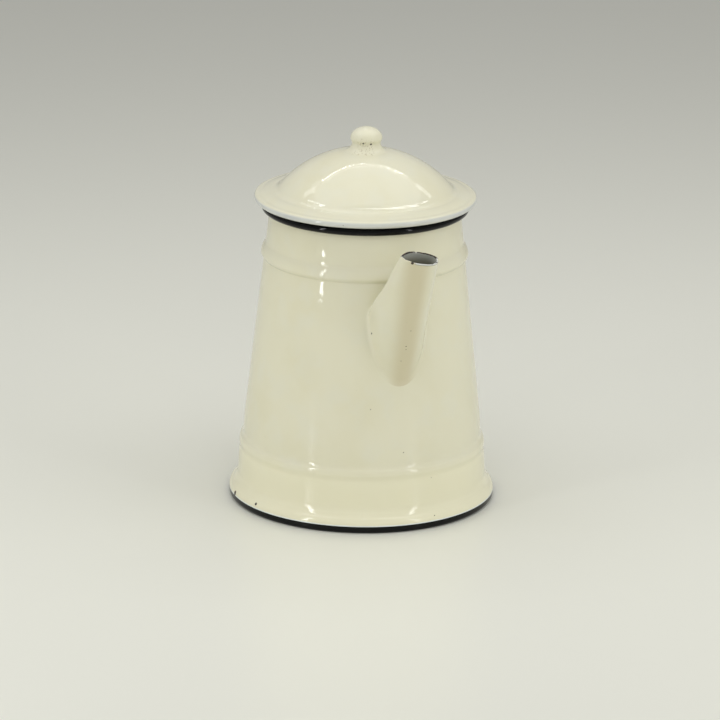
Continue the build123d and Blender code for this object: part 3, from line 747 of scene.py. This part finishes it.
draw_in_z = 45.0  # below it the wall is drawn in towards the skirt's edge
dense_from, dense_to = 122.0, 135.0
wall_z = np.concatenate([
    np.linspace(draw_in_z, dense_from, 20)[1:],
    np.linspace(dense_from, dense_to, 60)[1:],
    np.linspace(dense_to, neck_z, 12)[1:],
])
cone_line = np.column_stack([cone_r(wall_z) + bead(wall_z), wall_z])
draw_in = through([(cone_r(draw_in_z), draw_in_z, 6.3), (*skirt_top, 2.0), (wall_foot_r, body_low_z, 1.0)])
outside = np.concatenate([draw_in[::-1], cone_line])
inside = outside[::-3] - [sheet, 0]  # every third point is enough inside
inside[-1] = outside[0] - [sheet, 0]
wall_top = np.array([outside[-1], inside[0]])
wall_foot = np.array([inside[-1], outside[0]])
pot_wall = piece("pot_wall", "pot", [body_cream, white],
                 lathe(outside, np.concatenate([wall_top, inside, wall_foot])), ["body_wall"])


strainer_z = 98.0
strainer_pitch = 5.6
strainer_hole_r = 1.75
strainer_half_w, strainer_half_h = 10.5, 15.0


def strainer_cutters():
    """Level round bars through the wall behind the spout, in staggered rows inside an oval."""
    start, end = 40.0, 75.0
    outline = np.array([[0, start], [strainer_hole_r, start], [strainer_hole_r, end], [0, end]])
    bars = []
    for row in range(-3, 4):
        for column in range(-3, 4):
            y = (column + (row % 2) / 2) * strainer_pitch
            z = row * strainer_pitch * np.sqrt(3) / 2
            if (y / strainer_half_w) ** 2 + (z / strainer_half_h) ** 2 < 1:
                place = axes((0, y, strainer_z + z), (0, 1, 0), (0, 0, 1), (1, 0, 0))
                bars.append(lathe(outline, turns=24, place=place))
    return joined(*bars)


def cut(obj, name, cutter_parts):
    """Cuts a closed mesh out of an object for good."""
    points, faces, _ = cutter_parts
    mesh = bpy.data.meshes.new(name)
    mesh.from_pydata((points * MM).tolist(), [], faces)
    cutter = placed(name, mesh)
    tool = obj.modifiers.new("cut", "BOOLEAN")
    tool.operation = "DIFFERENCE"
    tool.solver = "EXACT"
    tool.object = cutter
    bpy.context.view_layer.update()
    evaluated = obj.evaluated_get(bpy.context.evaluated_depsgraph_get())
    finished = bpy.data.meshes.new_from_object(evaluated)
    obj.modifiers.clear()
    obj.data = finished
    finished.set_sharp_from_angle(angle=np.radians(SHARP))
    bpy.data.objects.remove(cutter)


cut(pot_wall, "strainer_cutter", strainer_cutters())

rim_roll_x = rim_r - rim_roll_r
rim_roll_z = rim_top_z - rim_roll_r
flare_out_r = rim_flare_r - sheet
rim_outline = np.concatenate([
    arc((rim_roll_x, neck_z), rim_flare_r, 180, 90),
    arc((rim_roll_x, rim_roll_z), rim_roll_r, 90, -184, 32)[1:],
    arc((rim_roll_x, neck_z), flare_out_r, 152, 180),
    [[neck_r - sheet, neck_z]],
])
piece("rolled_rim", "pot", [black], lathe(rim_outline), ["rim_roll"])

# Foot

flare = [
    (62.62, 26.0, -3.0),
    (62.92, 23.8, 7.0),
    (63.7, 12.4, 6.0),
    (64.65, 9.6, 30.0),
    (66.2, 7.3, 50.0),
    (foot_r, black_edge_z, 0.0),
]
skirt_out = through([(*skirt_top, 2.0), (61.85, 31.4, 48.0), (62.90, 28.7, 4.0)] + flare)
flare_in = through([(radius - sheet, z, lean) for radius, z, lean in flare])[::-1]
lap_in = np.array([[wall_foot_r + seam_gap, body_low_z], [skirt_top[0] - seam_gap, skirt_top[1]]])
skirt_in = np.concatenate([flare_in, lap_in])
piece("foot_skirt_enamel", "pot", [skirt_cream, white],
      lathe(skirt_out, np.concatenate([skirt_out[-1:], skirt_in, skirt_out[:1]])), ["foot_skirt"])

foot_roll_x = foot_r - foot_roll_r
foot_roll_z = foot_roll_r - foot_contact
edge_turn = np.degrees(np.arccos((foot_r - sheet - foot_roll_x) / foot_roll_r))
edge = arc((foot_roll_x, foot_roll_z), foot_roll_r, 0, edge_turn - 360, 32)
edge[:, 1] = np.maximum(edge[:, 1], 0.0)
edge_top = np.array([[foot_r, black_edge_z], [foot_r - sheet, black_edge_z]])
foot_edge = np.concatenate([edge_top[:1], edge, edge_top[::-1]])
piece("rolled_foot_edge", "pot", [black], lathe(foot_edge), ["foot_roll"])

pan_r = skirt_top[0] - sheet - seam_gap
pan_low_r = wall_foot_r - sheet - seam_gap
pan_top = rounded([(0, floor_z), (pan_r, floor_z, 2.0), (pan_low_r, body_low_z)], closed=False)
pan_under = rounded([
    (pan_low_r, body_low_z),
    (pan_low_r - sheet, body_low_z),
    (pan_r - sheet, floor_z - sheet, 1.0),
    (0, floor_z - sheet),
], closed=False)
piece("bottom_pan", "pot", [white, black], lathe(pan_top, pan_under), ["base_pan"])

# Spout halves

piece("spout_front_stamping", "pot", [spout_cream, spout_white],
      spout_half(0.0, np.pi, 72), ["spout_front"])
piece("spout_back_stamping", "pot", [spout_cream, spout_white],
      spout_half(np.pi, 2 * np.pi, 56), ["spout_back"])

# Lid

slope = np.radians(brim_slope)
brim_roll_x = brim_r - brim_roll_r
brim_roll_z = flange_top_z + brim_roll_r - 0.5
dome_foot_x = brim_roll_x - brim_w
dome_foot_z = brim_roll_z + brim_roll_r / np.cos(slope) + brim_w * np.tan(slope)
dome_h = dome_top_z - dome_foot_z
dome_curve_r = (dome_foot_x**2 + dome_h**2) / (2 * dome_h)
dome_z0 = dome_top_z - dome_curve_r
white_from = 20.0  # angle on the rolled edge below which the lid is white


def dome_height(x, inset=0.0):
    """Height of the dome at a radius, inset below its outside."""
    return dome_z0 + np.sqrt((dome_curve_r - inset) ** 2 - x**2)


inner_slope, outer_slope = 5.0, 17.6  # slopes of the brim at the dome and where it turns down
turn_in_from_roll = np.array([-2.0, 2.14])
hidden_from = 40.0  # angle on the rolled edge where the inner line ends


def lid_line(inset):
    """Outline of one side of the lid's sheet, from the rivet hole out to the rolled edge.

    It is the dome, the hollow curve at its foot, whose centre is equally far from dome and brim, and the
    slightly bowed brim."""
    curve = dome_curve_r - inset
    reach = dome_curve_r + dome_fillet_r
    rise = brim_roll_x * np.sin(slope) + (brim_roll_z - dome_z0) * np.cos(slope)
    rise += brim_roll_r + dome_fillet_r
    across = np.sqrt(reach**2 - rise**2)
    centre = np.array([
        rise * np.sin(slope) + across * np.cos(slope),
        dome_z0 + rise * np.cos(slope) - across * np.sin(slope),
    ])
    contact = heading(centre - [0, dome_z0])
    hole = np.degrees(np.arccos(knob_hole_r / curve))
    dome = arc((0, dome_z0), curve, hole, contact, 60)
    hollow = arc(centre, dome_fillet_r + inset, contact - 180, -90 - inner_slope, 12)
    start = hollow[-1]
    turn_in = np.array([brim_roll_x, brim_roll_z]) + turn_in_from_roll
    turn_in[1] -= inset / np.cos(np.radians(outer_slope))
    end_angle = white_from if inset == 0 else hidden_from
    end = arc((brim_roll_x, brim_roll_z), brim_roll_r - inset, end_angle, end_angle, 1)[0]
    length = np.linalg.norm(turn_in - start)
    middle = downwards(90 - outer_slope)
    pull = 1.2 * np.linalg.norm(end - turn_in)
    brim = flow(start, downwards(90 - inner_slope) * length, turn_in, middle * length)
    edge = flow(turn_in, middle * pull, end, downwards(end_angle) * pull)
    return np.concatenate([dome, hollow[1:], brim[1:], edge[1:]])


def lid_tint(finish, tone):
    """Towards the lid's rolled edge the cream thins out over the white ground coat."""
    ragged = finish.axis("Z") + finish.noise(6.0, 2.0) * 0.3
    return finish.mix(ragged.step(brim_roll_z + 1.75, brim_roll_z + 0.7), tone, WHITE)


lid_cream = creamy("lid_cream", tint=lid_tint)
lid_out = lid_line(0.0)
lid_in = lid_line(sheet)
roll_under = arc((brim_roll_x, brim_roll_z), brim_roll_r, white_from, -218, 32)
brim_under = lid_in[lid_in[:, 0] < brim_roll_x - 1.2][::-1]
piece("lid_enamel", "lid", [lid_cream, white],
      lathe(lid_out, np.concatenate([roll_under, brim_under, lid_out[:1]])),
      ["lid_shell"])

collar_outline = rounded([
    (collar_r, collar_low_z, 0.4),
    (collar_r, flange_top_z - sheet, 1.2),
    (flange_r, flange_top_z - sheet, 0.3),
    (flange_r, flange_top_z, 0.3),
    (collar_r - sheet, flange_top_z, 2.2),
    (collar_r - sheet, collar_low_z, 0.4),
])
piece("lid_collar_ring", "lid", [white],
      lathe(np.concatenate([collar_outline, collar_outline[:1]])), ["lid_collar"])

# Knob

knob_mid_z = knob_top_z - knob_half_h


def knob_tint(finish, tone):
    """Fine brown pits on the lower half of the knob, between its sides towards the spout and -Y."""
    low_down = finish.axis("Z").step(knob_mid_z + 3.0, knob_mid_z - 0.5)
    spout_side = finish.axis("X").step(3.5, 5.5) * finish.axis("Y").step(2.2, 0.5)
    pits = finish.noise(0.9, 1.0).step(0.56, 0.64)
    return finish.mix(pits * low_down * spout_side * 0.5, tone, PITTED)


knob_cream = creamy("knob_cream", spots=knob_spots, tint=knob_tint)
ball = arc((0, 0), 1, 90, 0, 24) * [knob_r, knob_half_h] + [0, knob_mid_z]
ball[0, 0] = 0
neck_way = np.array([0.0, -1.0])
neck_inset, neck_rise = 0.85, 3.1
knob_neck = np.array([knob_r - neck_inset, dome_top_z + neck_rise])
foot_slope = knob_foot_r / np.sqrt(dome_curve_r**2 - knob_foot_r**2)
knob_foot = np.array([knob_foot_r, dome_height(knob_foot_r)])
foot_way = np.array([1.0, -foot_slope])
knob_outline = np.concatenate([
    ball,
    flow(ball[-1], neck_way * 3.2, knob_neck, neck_way * 2.4, 10)[1:],
    flow(knob_neck, neck_way * 5.6, knob_foot, foot_way * 4.6, 14)[1:],
    [[knob_foot_r, knob_foot[1] - 0.4], [0, knob_foot[1] + 0.3]],
])
piece("knob_enamel", "lid", [knob_cream], lathe(knob_outline, turns=96), ["knob"])

# Handle

strap_high_z, strap_low_z = 149.4, 43.0
strap_end_r = 5.0
edge_roll_r = 1.5  # radius of the strap's rolled edges where it is free of the wall
crown_r = cone_r(strap_low_z) + seam_gap + strap_t


def on_wall(z, lift):
    """Point of the handle's plane at a height, lift outside the cone."""
    return -(cone_r(z) + lift / np.cos(tilt)), z


upper_bend_z, lower_bend_z = bracket_low_z - 6.6, 58.0
strap_mid = seam_gap + strap_t / 2
strap_corners = [  # x, z and radius along its middle line
    (*on_wall(strap_high_z, strap_mid), 0),
    (*on_wall(upper_bend_z, strap_mid), 6.5),
    (-(neck_r + 48.5), upper_bend_z + 7.2, 17.0),
    (-(neck_r + 38.5), 84.0, 42.0),
    (*on_wall(lower_bend_z, strap_mid), 11.0),
    (*on_wall(strap_low_z, strap_mid), 0),
]
route = supported(rounded(strap_corners, closed=False, steps=24), longest=1.5)
run = run_length(route)
ends = eased(strap_end_r, 9)
even = np.concatenate([ends, np.linspace(0, run[-1], 260), run[-1] - ends])
even = np.unique(np.round(even, 4))
route, inwards = walked(route, run, even)
outwards = -inwards
half_w = strap_half_w - round_off(np.minimum(even, run[-1] - even), strap_end_r)

hold = soft_step(even, 13.0, 20.0) * soft_step(run[-1] - even, 15.0, 24.0)  # 1 where it is free
edge_r = strap_t / 2 + hold * (edge_roll_r - strap_t / 2)
u = np.linspace(0, 1, 17)[None]
end_turn = -(180 + np.degrees(np.arcsin((edge_r - strap_t) / edge_r)))[:, None]
turn = np.radians(90 + (end_turn - 90) * u)
edge_y = (half_w - edge_r)[:, None]


def crown_sag(y):
    """How far the crowned strap falls away at a distance from its middle line."""
    return crown_r - np.sqrt(crown_r**2 - y**2)


roll_y = edge_y + edge_r[:, None] * np.cos(turn)
roll_n = strap_t / 2 - edge_r[:, None] - crown_sag(edge_y) + edge_r[:, None] * np.sin(turn)
face_u = np.linspace(-1, 1, 13)[1:-1][None]
top_y = edge_y * face_u
top_n = strap_t / 2 - crown_sag(top_y)
under_y = roll_y[:, -1:] * -face_u
under_n = -strap_t / 2 - crown_sag(under_y)
section_y = np.concatenate([top_y, roll_y, under_y, -roll_y[:, ::-1]], axis=1)
section_n = np.concatenate([top_n, roll_n, under_n, roll_n[:, ::-1]], axis=1)
strap_points = np.stack([
    route[:, :1] + outwards[:, :1] * section_n,
    section_y,
    route[:, 1:] + outwards[:, 1:] * section_n,
], axis=-1)
piece("handle_enamel", "pot", [cream], carried(strap_points), ["handle_strap"], sharp=50.0)

# Hinge

def strip(route, half_w, thickness, corner_r, soft=0.3):
    """A flat strip along a route in the XZ plane.

    Its edges are softened and the corners of its start rounded, all by quarter circles."""
    route = supported(route, longest=2.0)
    run = run_length(route)
    near_end = eased(soft, 5)
    at = np.unique(np.round(np.concatenate([near_end, eased(corner_r, 13), run, run[-1] - near_end]), 3))
    at = at[at <= run[-1]]
    line, off = walked(route, run, at)
    inset = round_off(np.minimum(at, run[-1] - at), soft)
    corner = round_off(at, corner_r)
    a = np.radians(np.linspace(0, 90, 5))
    turns_y = np.concatenate([np.cos(a), -np.sin(a), -np.cos(a), np.sin(a)])
    turns_n = np.concatenate([np.sin(a), np.cos(a), -np.sin(a), -np.cos(a)])
    corner_y = np.repeat([1, -1, -1, 1], 5)
    corner_n = np.repeat([1, 1, -1, -1], 5)
    y = corner_y * (half_w - corner - inset - soft)[:, None] + soft * turns_y
    n = corner_n * (thickness / 2 - inset - soft)[:, None] + soft * turns_n
    points = np.stack([line[:, :1] + off[:, :1] * n, y, line[:, 1:] + off[:, 1:] * n], axis=-1)
    return carried(points)


def wall_patch(low_z, high_z, half_w, lift, thickness, soft=0.35):
    """A plate bent round the cone, lift outside it, with softened edges."""
    ease = eased(soft, 5)

    def spread(start, end, count):
        inner = np.linspace(start + soft, end - soft, count)[1:-1]
        return np.concatenate([start + ease, inner, (end - ease)[::-1]])

    z = spread(low_z, high_z, 8)[:, None]
    y = spread(-half_w, half_w, 20)[None, :]
    edge = np.minimum(np.minimum(z - low_z, high_z - z), half_w - np.abs(y))
    drop = round_off(edge, soft)
    level = 1 / np.cos(tilt)

    def grid(height):
        radius = cone_r(z) + height * level
        return np.stack(np.broadcast_arrays(-np.sqrt(radius**2 - y**2), y, z), axis=-1)

    return shell(grid(lift + thickness - drop), grid(lift + drop))


bracket_high_z = rim_top_z - 2 * rim_roll_r - 0.6
touch_y = 9.0  # where the bracket's plate rests on the crowned strap
neck_sag = neck_r - np.sqrt(neck_r**2 - touch_y**2)
bracket_inset = 2 * seam_gap + strap_t + neck_sag - crown_sag(touch_y)
plate_x = -(neck_r + bracket_inset)
roll_side_x = -(rim_r + 0.6)
ear_in_y = ear_out_y - bracket_t
ear_outline = np.concatenate([
    rounded([
        (plate_x - 3.4, bracket_low_z, 0),
        (plate_x - 0.2, bracket_low_z + 0.1, 0),
        (plate_x - 0.2, bracket_high_z - 0.05, 0.3),
        (roll_side_x, bracket_high_z - 0.05, 1.2),
        (roll_side_x, rim_roll_z, 0),
    ], closed=False),
    arc((pin_x, pin_z), ear_r, -27, 184, 24),
    rounded([
        (pin_x - ear_r, pin_z - 0.4, 0),
        (pin_x - 0.77 * ear_r, bracket_high_z, 4.0),
        (plate_x - 3.4, bracket_low_z, 0),
    ], closed=False)[:-1],
])
ear_points, ear_faces, ear_kinds = plate(ear_outline, bracket_t, 0.3)
ear_y = (ear_in_y + ear_out_y) / 2
ears = [
    (axes((0, y, 0), (1, 0, 0), (0, 0, 1), (0, -1, 0))(ear_points), ear_faces, ear_kinds)
    for y in (-ear_y, ear_y)
]
base_plate = wall_patch(bracket_low_z, bracket_high_z, ear_out_y, bracket_inset, bracket_t)
piece("bracket_enamel", "pot", [cream], joined(base_plate, *ears), ["hinge_bracket"])

leaf_inner_r = brim_roll_x - 7.6


def leaf_line_z(radius):
    """Height of the leaf's middle line above the brim at a radius."""
    top = brim_roll_z + (brim_roll_r + seam_gap + leaf_t / 2) / np.cos(slope)
    return top - (radius - brim_roll_x) * np.tan(slope)


curl_r = knuckle_r - leaf_t / 2
curl_start = 90 + brim_slope
leaf_route = np.concatenate([
    [(-leaf_inner_r, leaf_line_z(leaf_inner_r))],
    arc((pin_x, pin_z), curl_r, curl_start, curl_start + 296, 40),
])
leaf_strip = strip(leaf_route, leaf_half_w, leaf_t, corner_r=5.5)
piece("leaf_enamel", "lid", [cream], leaf_strip, ["lid_leaf"])


def rivet(grip, head_r=2.3, head_h=1.2, shank_r=rivet_r, tail_r=2.1, tail_h=0.8):
    """Outline of a rivet whose domed head stands on height 0 and whose flat tail lies under the grip."""
    head = arc((0, 0), 1, 90, 0, 12) * [head_r, head_h - 0.1] + [0, 0.1]
    head[0, 0] = 0
    tail = rounded([
        (head_r, 0, 0), (shank_r, 0, 0), (shank_r, -grip, 0), (tail_r, -grip, 0.2),
        (tail_r, -grip - tail_h, 0.3), (0, -grip - tail_h, 0),
    ], closed=False)
    return np.concatenate([head, tail])


def wall_rivets(z, lift):
    """A pair of rivets square to the cone on the handle's side, their heads lift above it."""
    pair = []
    for side in (-1, 1):
        azimuth = np.pi + side * np.arcsin(rivet_half_gap / cone_r(z))
        level = np.array([np.cos(azimuth), np.sin(azimuth), 0])
        out = level * np.cos(tilt) + np.array([0, 0, np.sin(tilt)])
        across = np.array([np.sin(azimuth), -np.cos(azimuth), 0])
        foot = level * cone_r(z) + [0, 0, z] + out * lift
        place = axes(foot, across, np.cross(out, across), out)
        pair.append(lathe(rivet(lift + sheet + 0.1), turns=48, place=place))
    return joined(*pair)


strap_rivet_z = 49.5
hinge_head_lift = bracket_inset + bracket_t + seam_gap
piece("bracket_rivet_pair", "pot", [drawn_steel],
      wall_rivets(bracket_low_z + 5.0, hinge_head_lift), ["hinge_rivets"])
piece("handle_rivet_pair", "pot", [drawn_steel],
      wall_rivets(strap_rivet_z, strap_t + 2 * seam_gap), ["strap_rivets"])

leaf_rivet_x = brim_roll_x - 4.1
leaf_up = np.array([-np.sin(slope), 0, np.cos(slope)])
leaf_rivet_foot = np.array([-leaf_rivet_x, 0, leaf_line_z(leaf_rivet_x)])
leaf_rivet_foot += leaf_up * (leaf_t / 2 + seam_gap)
leaf_pair = []
for side in (-1, 1):
    foot = leaf_rivet_foot + [0, side * rivet_half_gap, 0]
    place = axes(foot, (0, 1, 0), np.cross(leaf_up, (0, 1, 0)), leaf_up)
    leaf_pair.append(lathe(rivet(leaf_t + sheet + 0.25), turns=48, place=place))
piece("leaf_rivet_pair", "lid", [drawn_steel], joined(*leaf_pair), ["leaf_rivets"])

pin_r, pin_head_r, pin_head_h = 1.2, 2.1, 0.75
pin_end_y = high("hinge_pin")[1]
pin_neck_y = pin_end_y - 0.9
dome = arc((0, 0), 1, 90, 0, 12) * [pin_head_r, pin_head_h] + [0, pin_end_y - pin_head_h]
dome[0, 0] = 0
half_pin = np.concatenate([dome, [[pin_head_r, pin_neck_y], [pin_r, pin_neck_y]]])
pin_outline = np.concatenate([half_pin, half_pin[::-1] * [1, -1]])
place = axes((pin_x, 0, pin_z), (0, 0, 1), (1, 0, 0), (0, 1, 0))
piece("hinge_pin_turned", "pot", [drawn_steel],
      lathe(pin_outline, turns=48, place=place), ["hinge_pin"])

knob_rivet_r, knob_rivet_head_r, knob_rivet_head_h = 2.0, 4.2, 1.4
head_z, end_z = dome_height(knob_rivet_head_r, sheet + seam_gap), dome_top_z + 7.0
knob_rivet_outline = rounded([
    (0, head_z - knob_rivet_head_h, 0),
    (knob_rivet_head_r, head_z - knob_rivet_head_h, 1.1),
    (knob_rivet_head_r, head_z, 0.1),
    (knob_rivet_r, head_z, 0),
    (knob_rivet_r, end_z, 0.3),
    (0, end_z, 0),
], closed=False)
piece("knob_rivet_turned", "lid", [drawn_steel],
      lathe(knob_rivet_outline, turns=64), ["knob_rivet"])

# Studio

camera_way = np.radians(-19.0)
camera_reach, camera_height = 2.1996, 0.7495
camera_pitch, camera_yaw, camera_roll = 0.2995, -0.0007, 0.0151
towards = np.array([np.cos(camera_way), np.sin(camera_way), 0.0])
right = np.array([-towards[1], towards[0], 0.0])
level = unit(-towards + camera_yaw * right)
right = np.cross(level, [0, 0, 1])
ahead = level * np.cos(camera_pitch) - np.array([0, 0, 1]) * np.sin(camera_pitch)
above = np.cross(right, ahead)
camera_right = right * np.cos(camera_roll) + above * np.sin(camera_roll)
camera_up = above * np.cos(camera_roll) - right * np.sin(camera_roll)
camera = placed("camera", bpy.data.cameras.new("camera"))
camera.data.sensor_width = 36.0
camera.data.lens = 225.0
camera.data.clip_end = 200.0
turned = Matrix([list(camera_right), list(camera_up), list(-ahead)]).transposed().to_4x4()
camera.matrix_world = Matrix.Translation(towards * camera_reach + np.array([0, 0, camera_height])) @ turned
scene.camera = camera


def lamp(name, place, target, size, size_y, radiance):
    """A rectangular soft lamp. Place and target are (right, behind, height) in metres, for the camera.

    radiance is the brightness of its face, where 1 is white. Power is radiance times pi times area."""
    def spot(point):
        return Vector(right * point[0] - towards * point[1] + np.array([0, 0, point[2]]))

    light = bpy.data.lights.new(name, "AREA")
    light.shape = "RECTANGLE"
    light.size = size
    light.size_y = size_y
    light.energy = radiance * np.pi * size * size_y
    obj = placed(name, light)
    obj.location = spot(place)
    obj.rotation_euler = (spot(target) - obj.location).to_track_quat("-Z", "Y").to_euler()
    return obj


def ceiling_lamp(name, centre, size, size_y, radiance):
    """A lamp that faces straight down, its length across the camera's view."""
    obj = lamp(name, centre, (centre[0], centre[1], 0), size, size_y, radiance)
    obj.rotation_euler = (0, 0, np.arctan2(right[1], right[0]))
    return obj


ceiling_z = 0.75


def ceiling_chain(name, corners, count, width, radiance, spread=1.0):
    """Lamps end to end on the ceiling, each spread of its share long.

    They follow the polynomial of (right, behind) that passes through all the corners."""
    across, behind = np.array(corners).T
    even = np.linspace(across[0], across[-1], 60)
    route = np.column_stack([even, np.polyval(np.polyfit(across, behind, len(across) - 1), even)])
    run = run_length(route)
    line, _ = walked(route, run, np.linspace(0, run[-1], count + 1))
    for k, (start, end) in enumerate(zip(line[:-1], line[1:])):
        middle, way = (start + end) / 2, end - start
        length = spread * np.hypot(*way)
        obj = ceiling_lamp(f"{name}_{k:02d}", (*middle, ceiling_z), length, width, radiance)
        obj.rotation_euler[2] += np.arctan2(way[1], way[0])


# The ceiling light that the dome mirrors: (right, behind) along its outline
near_edge = [(-0.63, 0.144), (-0.345, -0.192), (0.06, -0.283), (0.43, -0.116), (0.72, 0.277)]
far_edge = [(-0.39, 0.288), (-0.21, 0.362), (0.01, 0.418), (0.18, 0.401), (0.37, 0.377)]
far_line = [(right_of, behind - 0.055) for right_of, behind in far_edge]
ceiling_lamp("ceiling_panel", (0.02, 0.06, ceiling_z + 0.01), size=1.1, size_y=0.60, radiance=0.88)
ceiling_chain("near_edge", near_edge, count=20, width=0.010, radiance=8.0)
ceiling_chain("far_line", far_line, count=16, width=0.008, radiance=6.0)
ceiling_chain("far_dot", far_edge, count=26, width=0.011, radiance=60.0, spread=0.30)
ceiling_chain("left_stroke", [(-0.66, 0.29), (-0.48, 0.215)], count=1, width=0.10, radiance=2.0)
ceiling_chain("right_stroke", [(0.46, 0.332), (0.73, 0.384)], count=1, width=0.10, radiance=2.0)

# Two upright strips of small lamps, seen as broken streaks on the body: (height, length) of each bit
strip_bits = [(0.070, 0.009), (0.086, 0.010), (0.127, 0.032)]
strip_bits += [(0.16 + 0.03 * k, 0.016) for k in range(15)]
strip_w = 0.05
for name, place, radiance in (("left", (-0.485, -0.46), 14.0), ("right", (0.48, -0.43), 8.0)):
    for k, (height, tall) in enumerate(strip_bits):
        lamp(f"{name}_strip_{k:02d}", (*place, height), (0, 0, 0.14), strip_w, tall, radiance)

# Broad soft light that leaves no reflection
for name, place, target, size, size_y, radiance in (
    ("left_fill", (-1.45, -0.45, 0.55), (0, 0, 0.10), 1.2, 1.1, 0.94),
    ("right_fill", (1.45, -0.45, 0.55), (0, 0, 0.10), 1.2, 1.1, 1.35),
    ("front_fill", (0, -2.6, 0.9), (0, 0, 0.10), 1.8, 1.4, 0.85),
    ("front_top_fill", (0, -1.1, 1.25), (0, -0.1, 0.05), 1.2, 0.8, 0.74),
):
    fill = lamp(name, place, target, size, size_y, radiance)
    fill.visible_glossy = False

world = bpy.data.worlds.new("studio")
scene.world = world
world.use_nodes = True
background = world.node_tree.nodes["Background"]
background.inputs["Color"].default_value = (1.0, 1.0, 1.0, 1.0)
background.inputs["Strength"].default_value = 0.38

table = bpy.data.meshes.new("table")
far = 20.0
table.from_pydata([(-far, -far, 0), (far, -far, 0), (far, far, 0), (-far, far, 0)], [], [(0, 1, 2, 3)])
table_top = placed("table", table)
table_top.location = (0, 0, -0.0001)  # a little below the foot, so that the two don't share a plane
table_finish = Finish("table_top", Roughness=0.35)
table_finish.shader.inputs["Base Color"].default_value = FLOOR
table.materials.append(table_finish.material)

scene.view_settings.view_transform = "Standard"
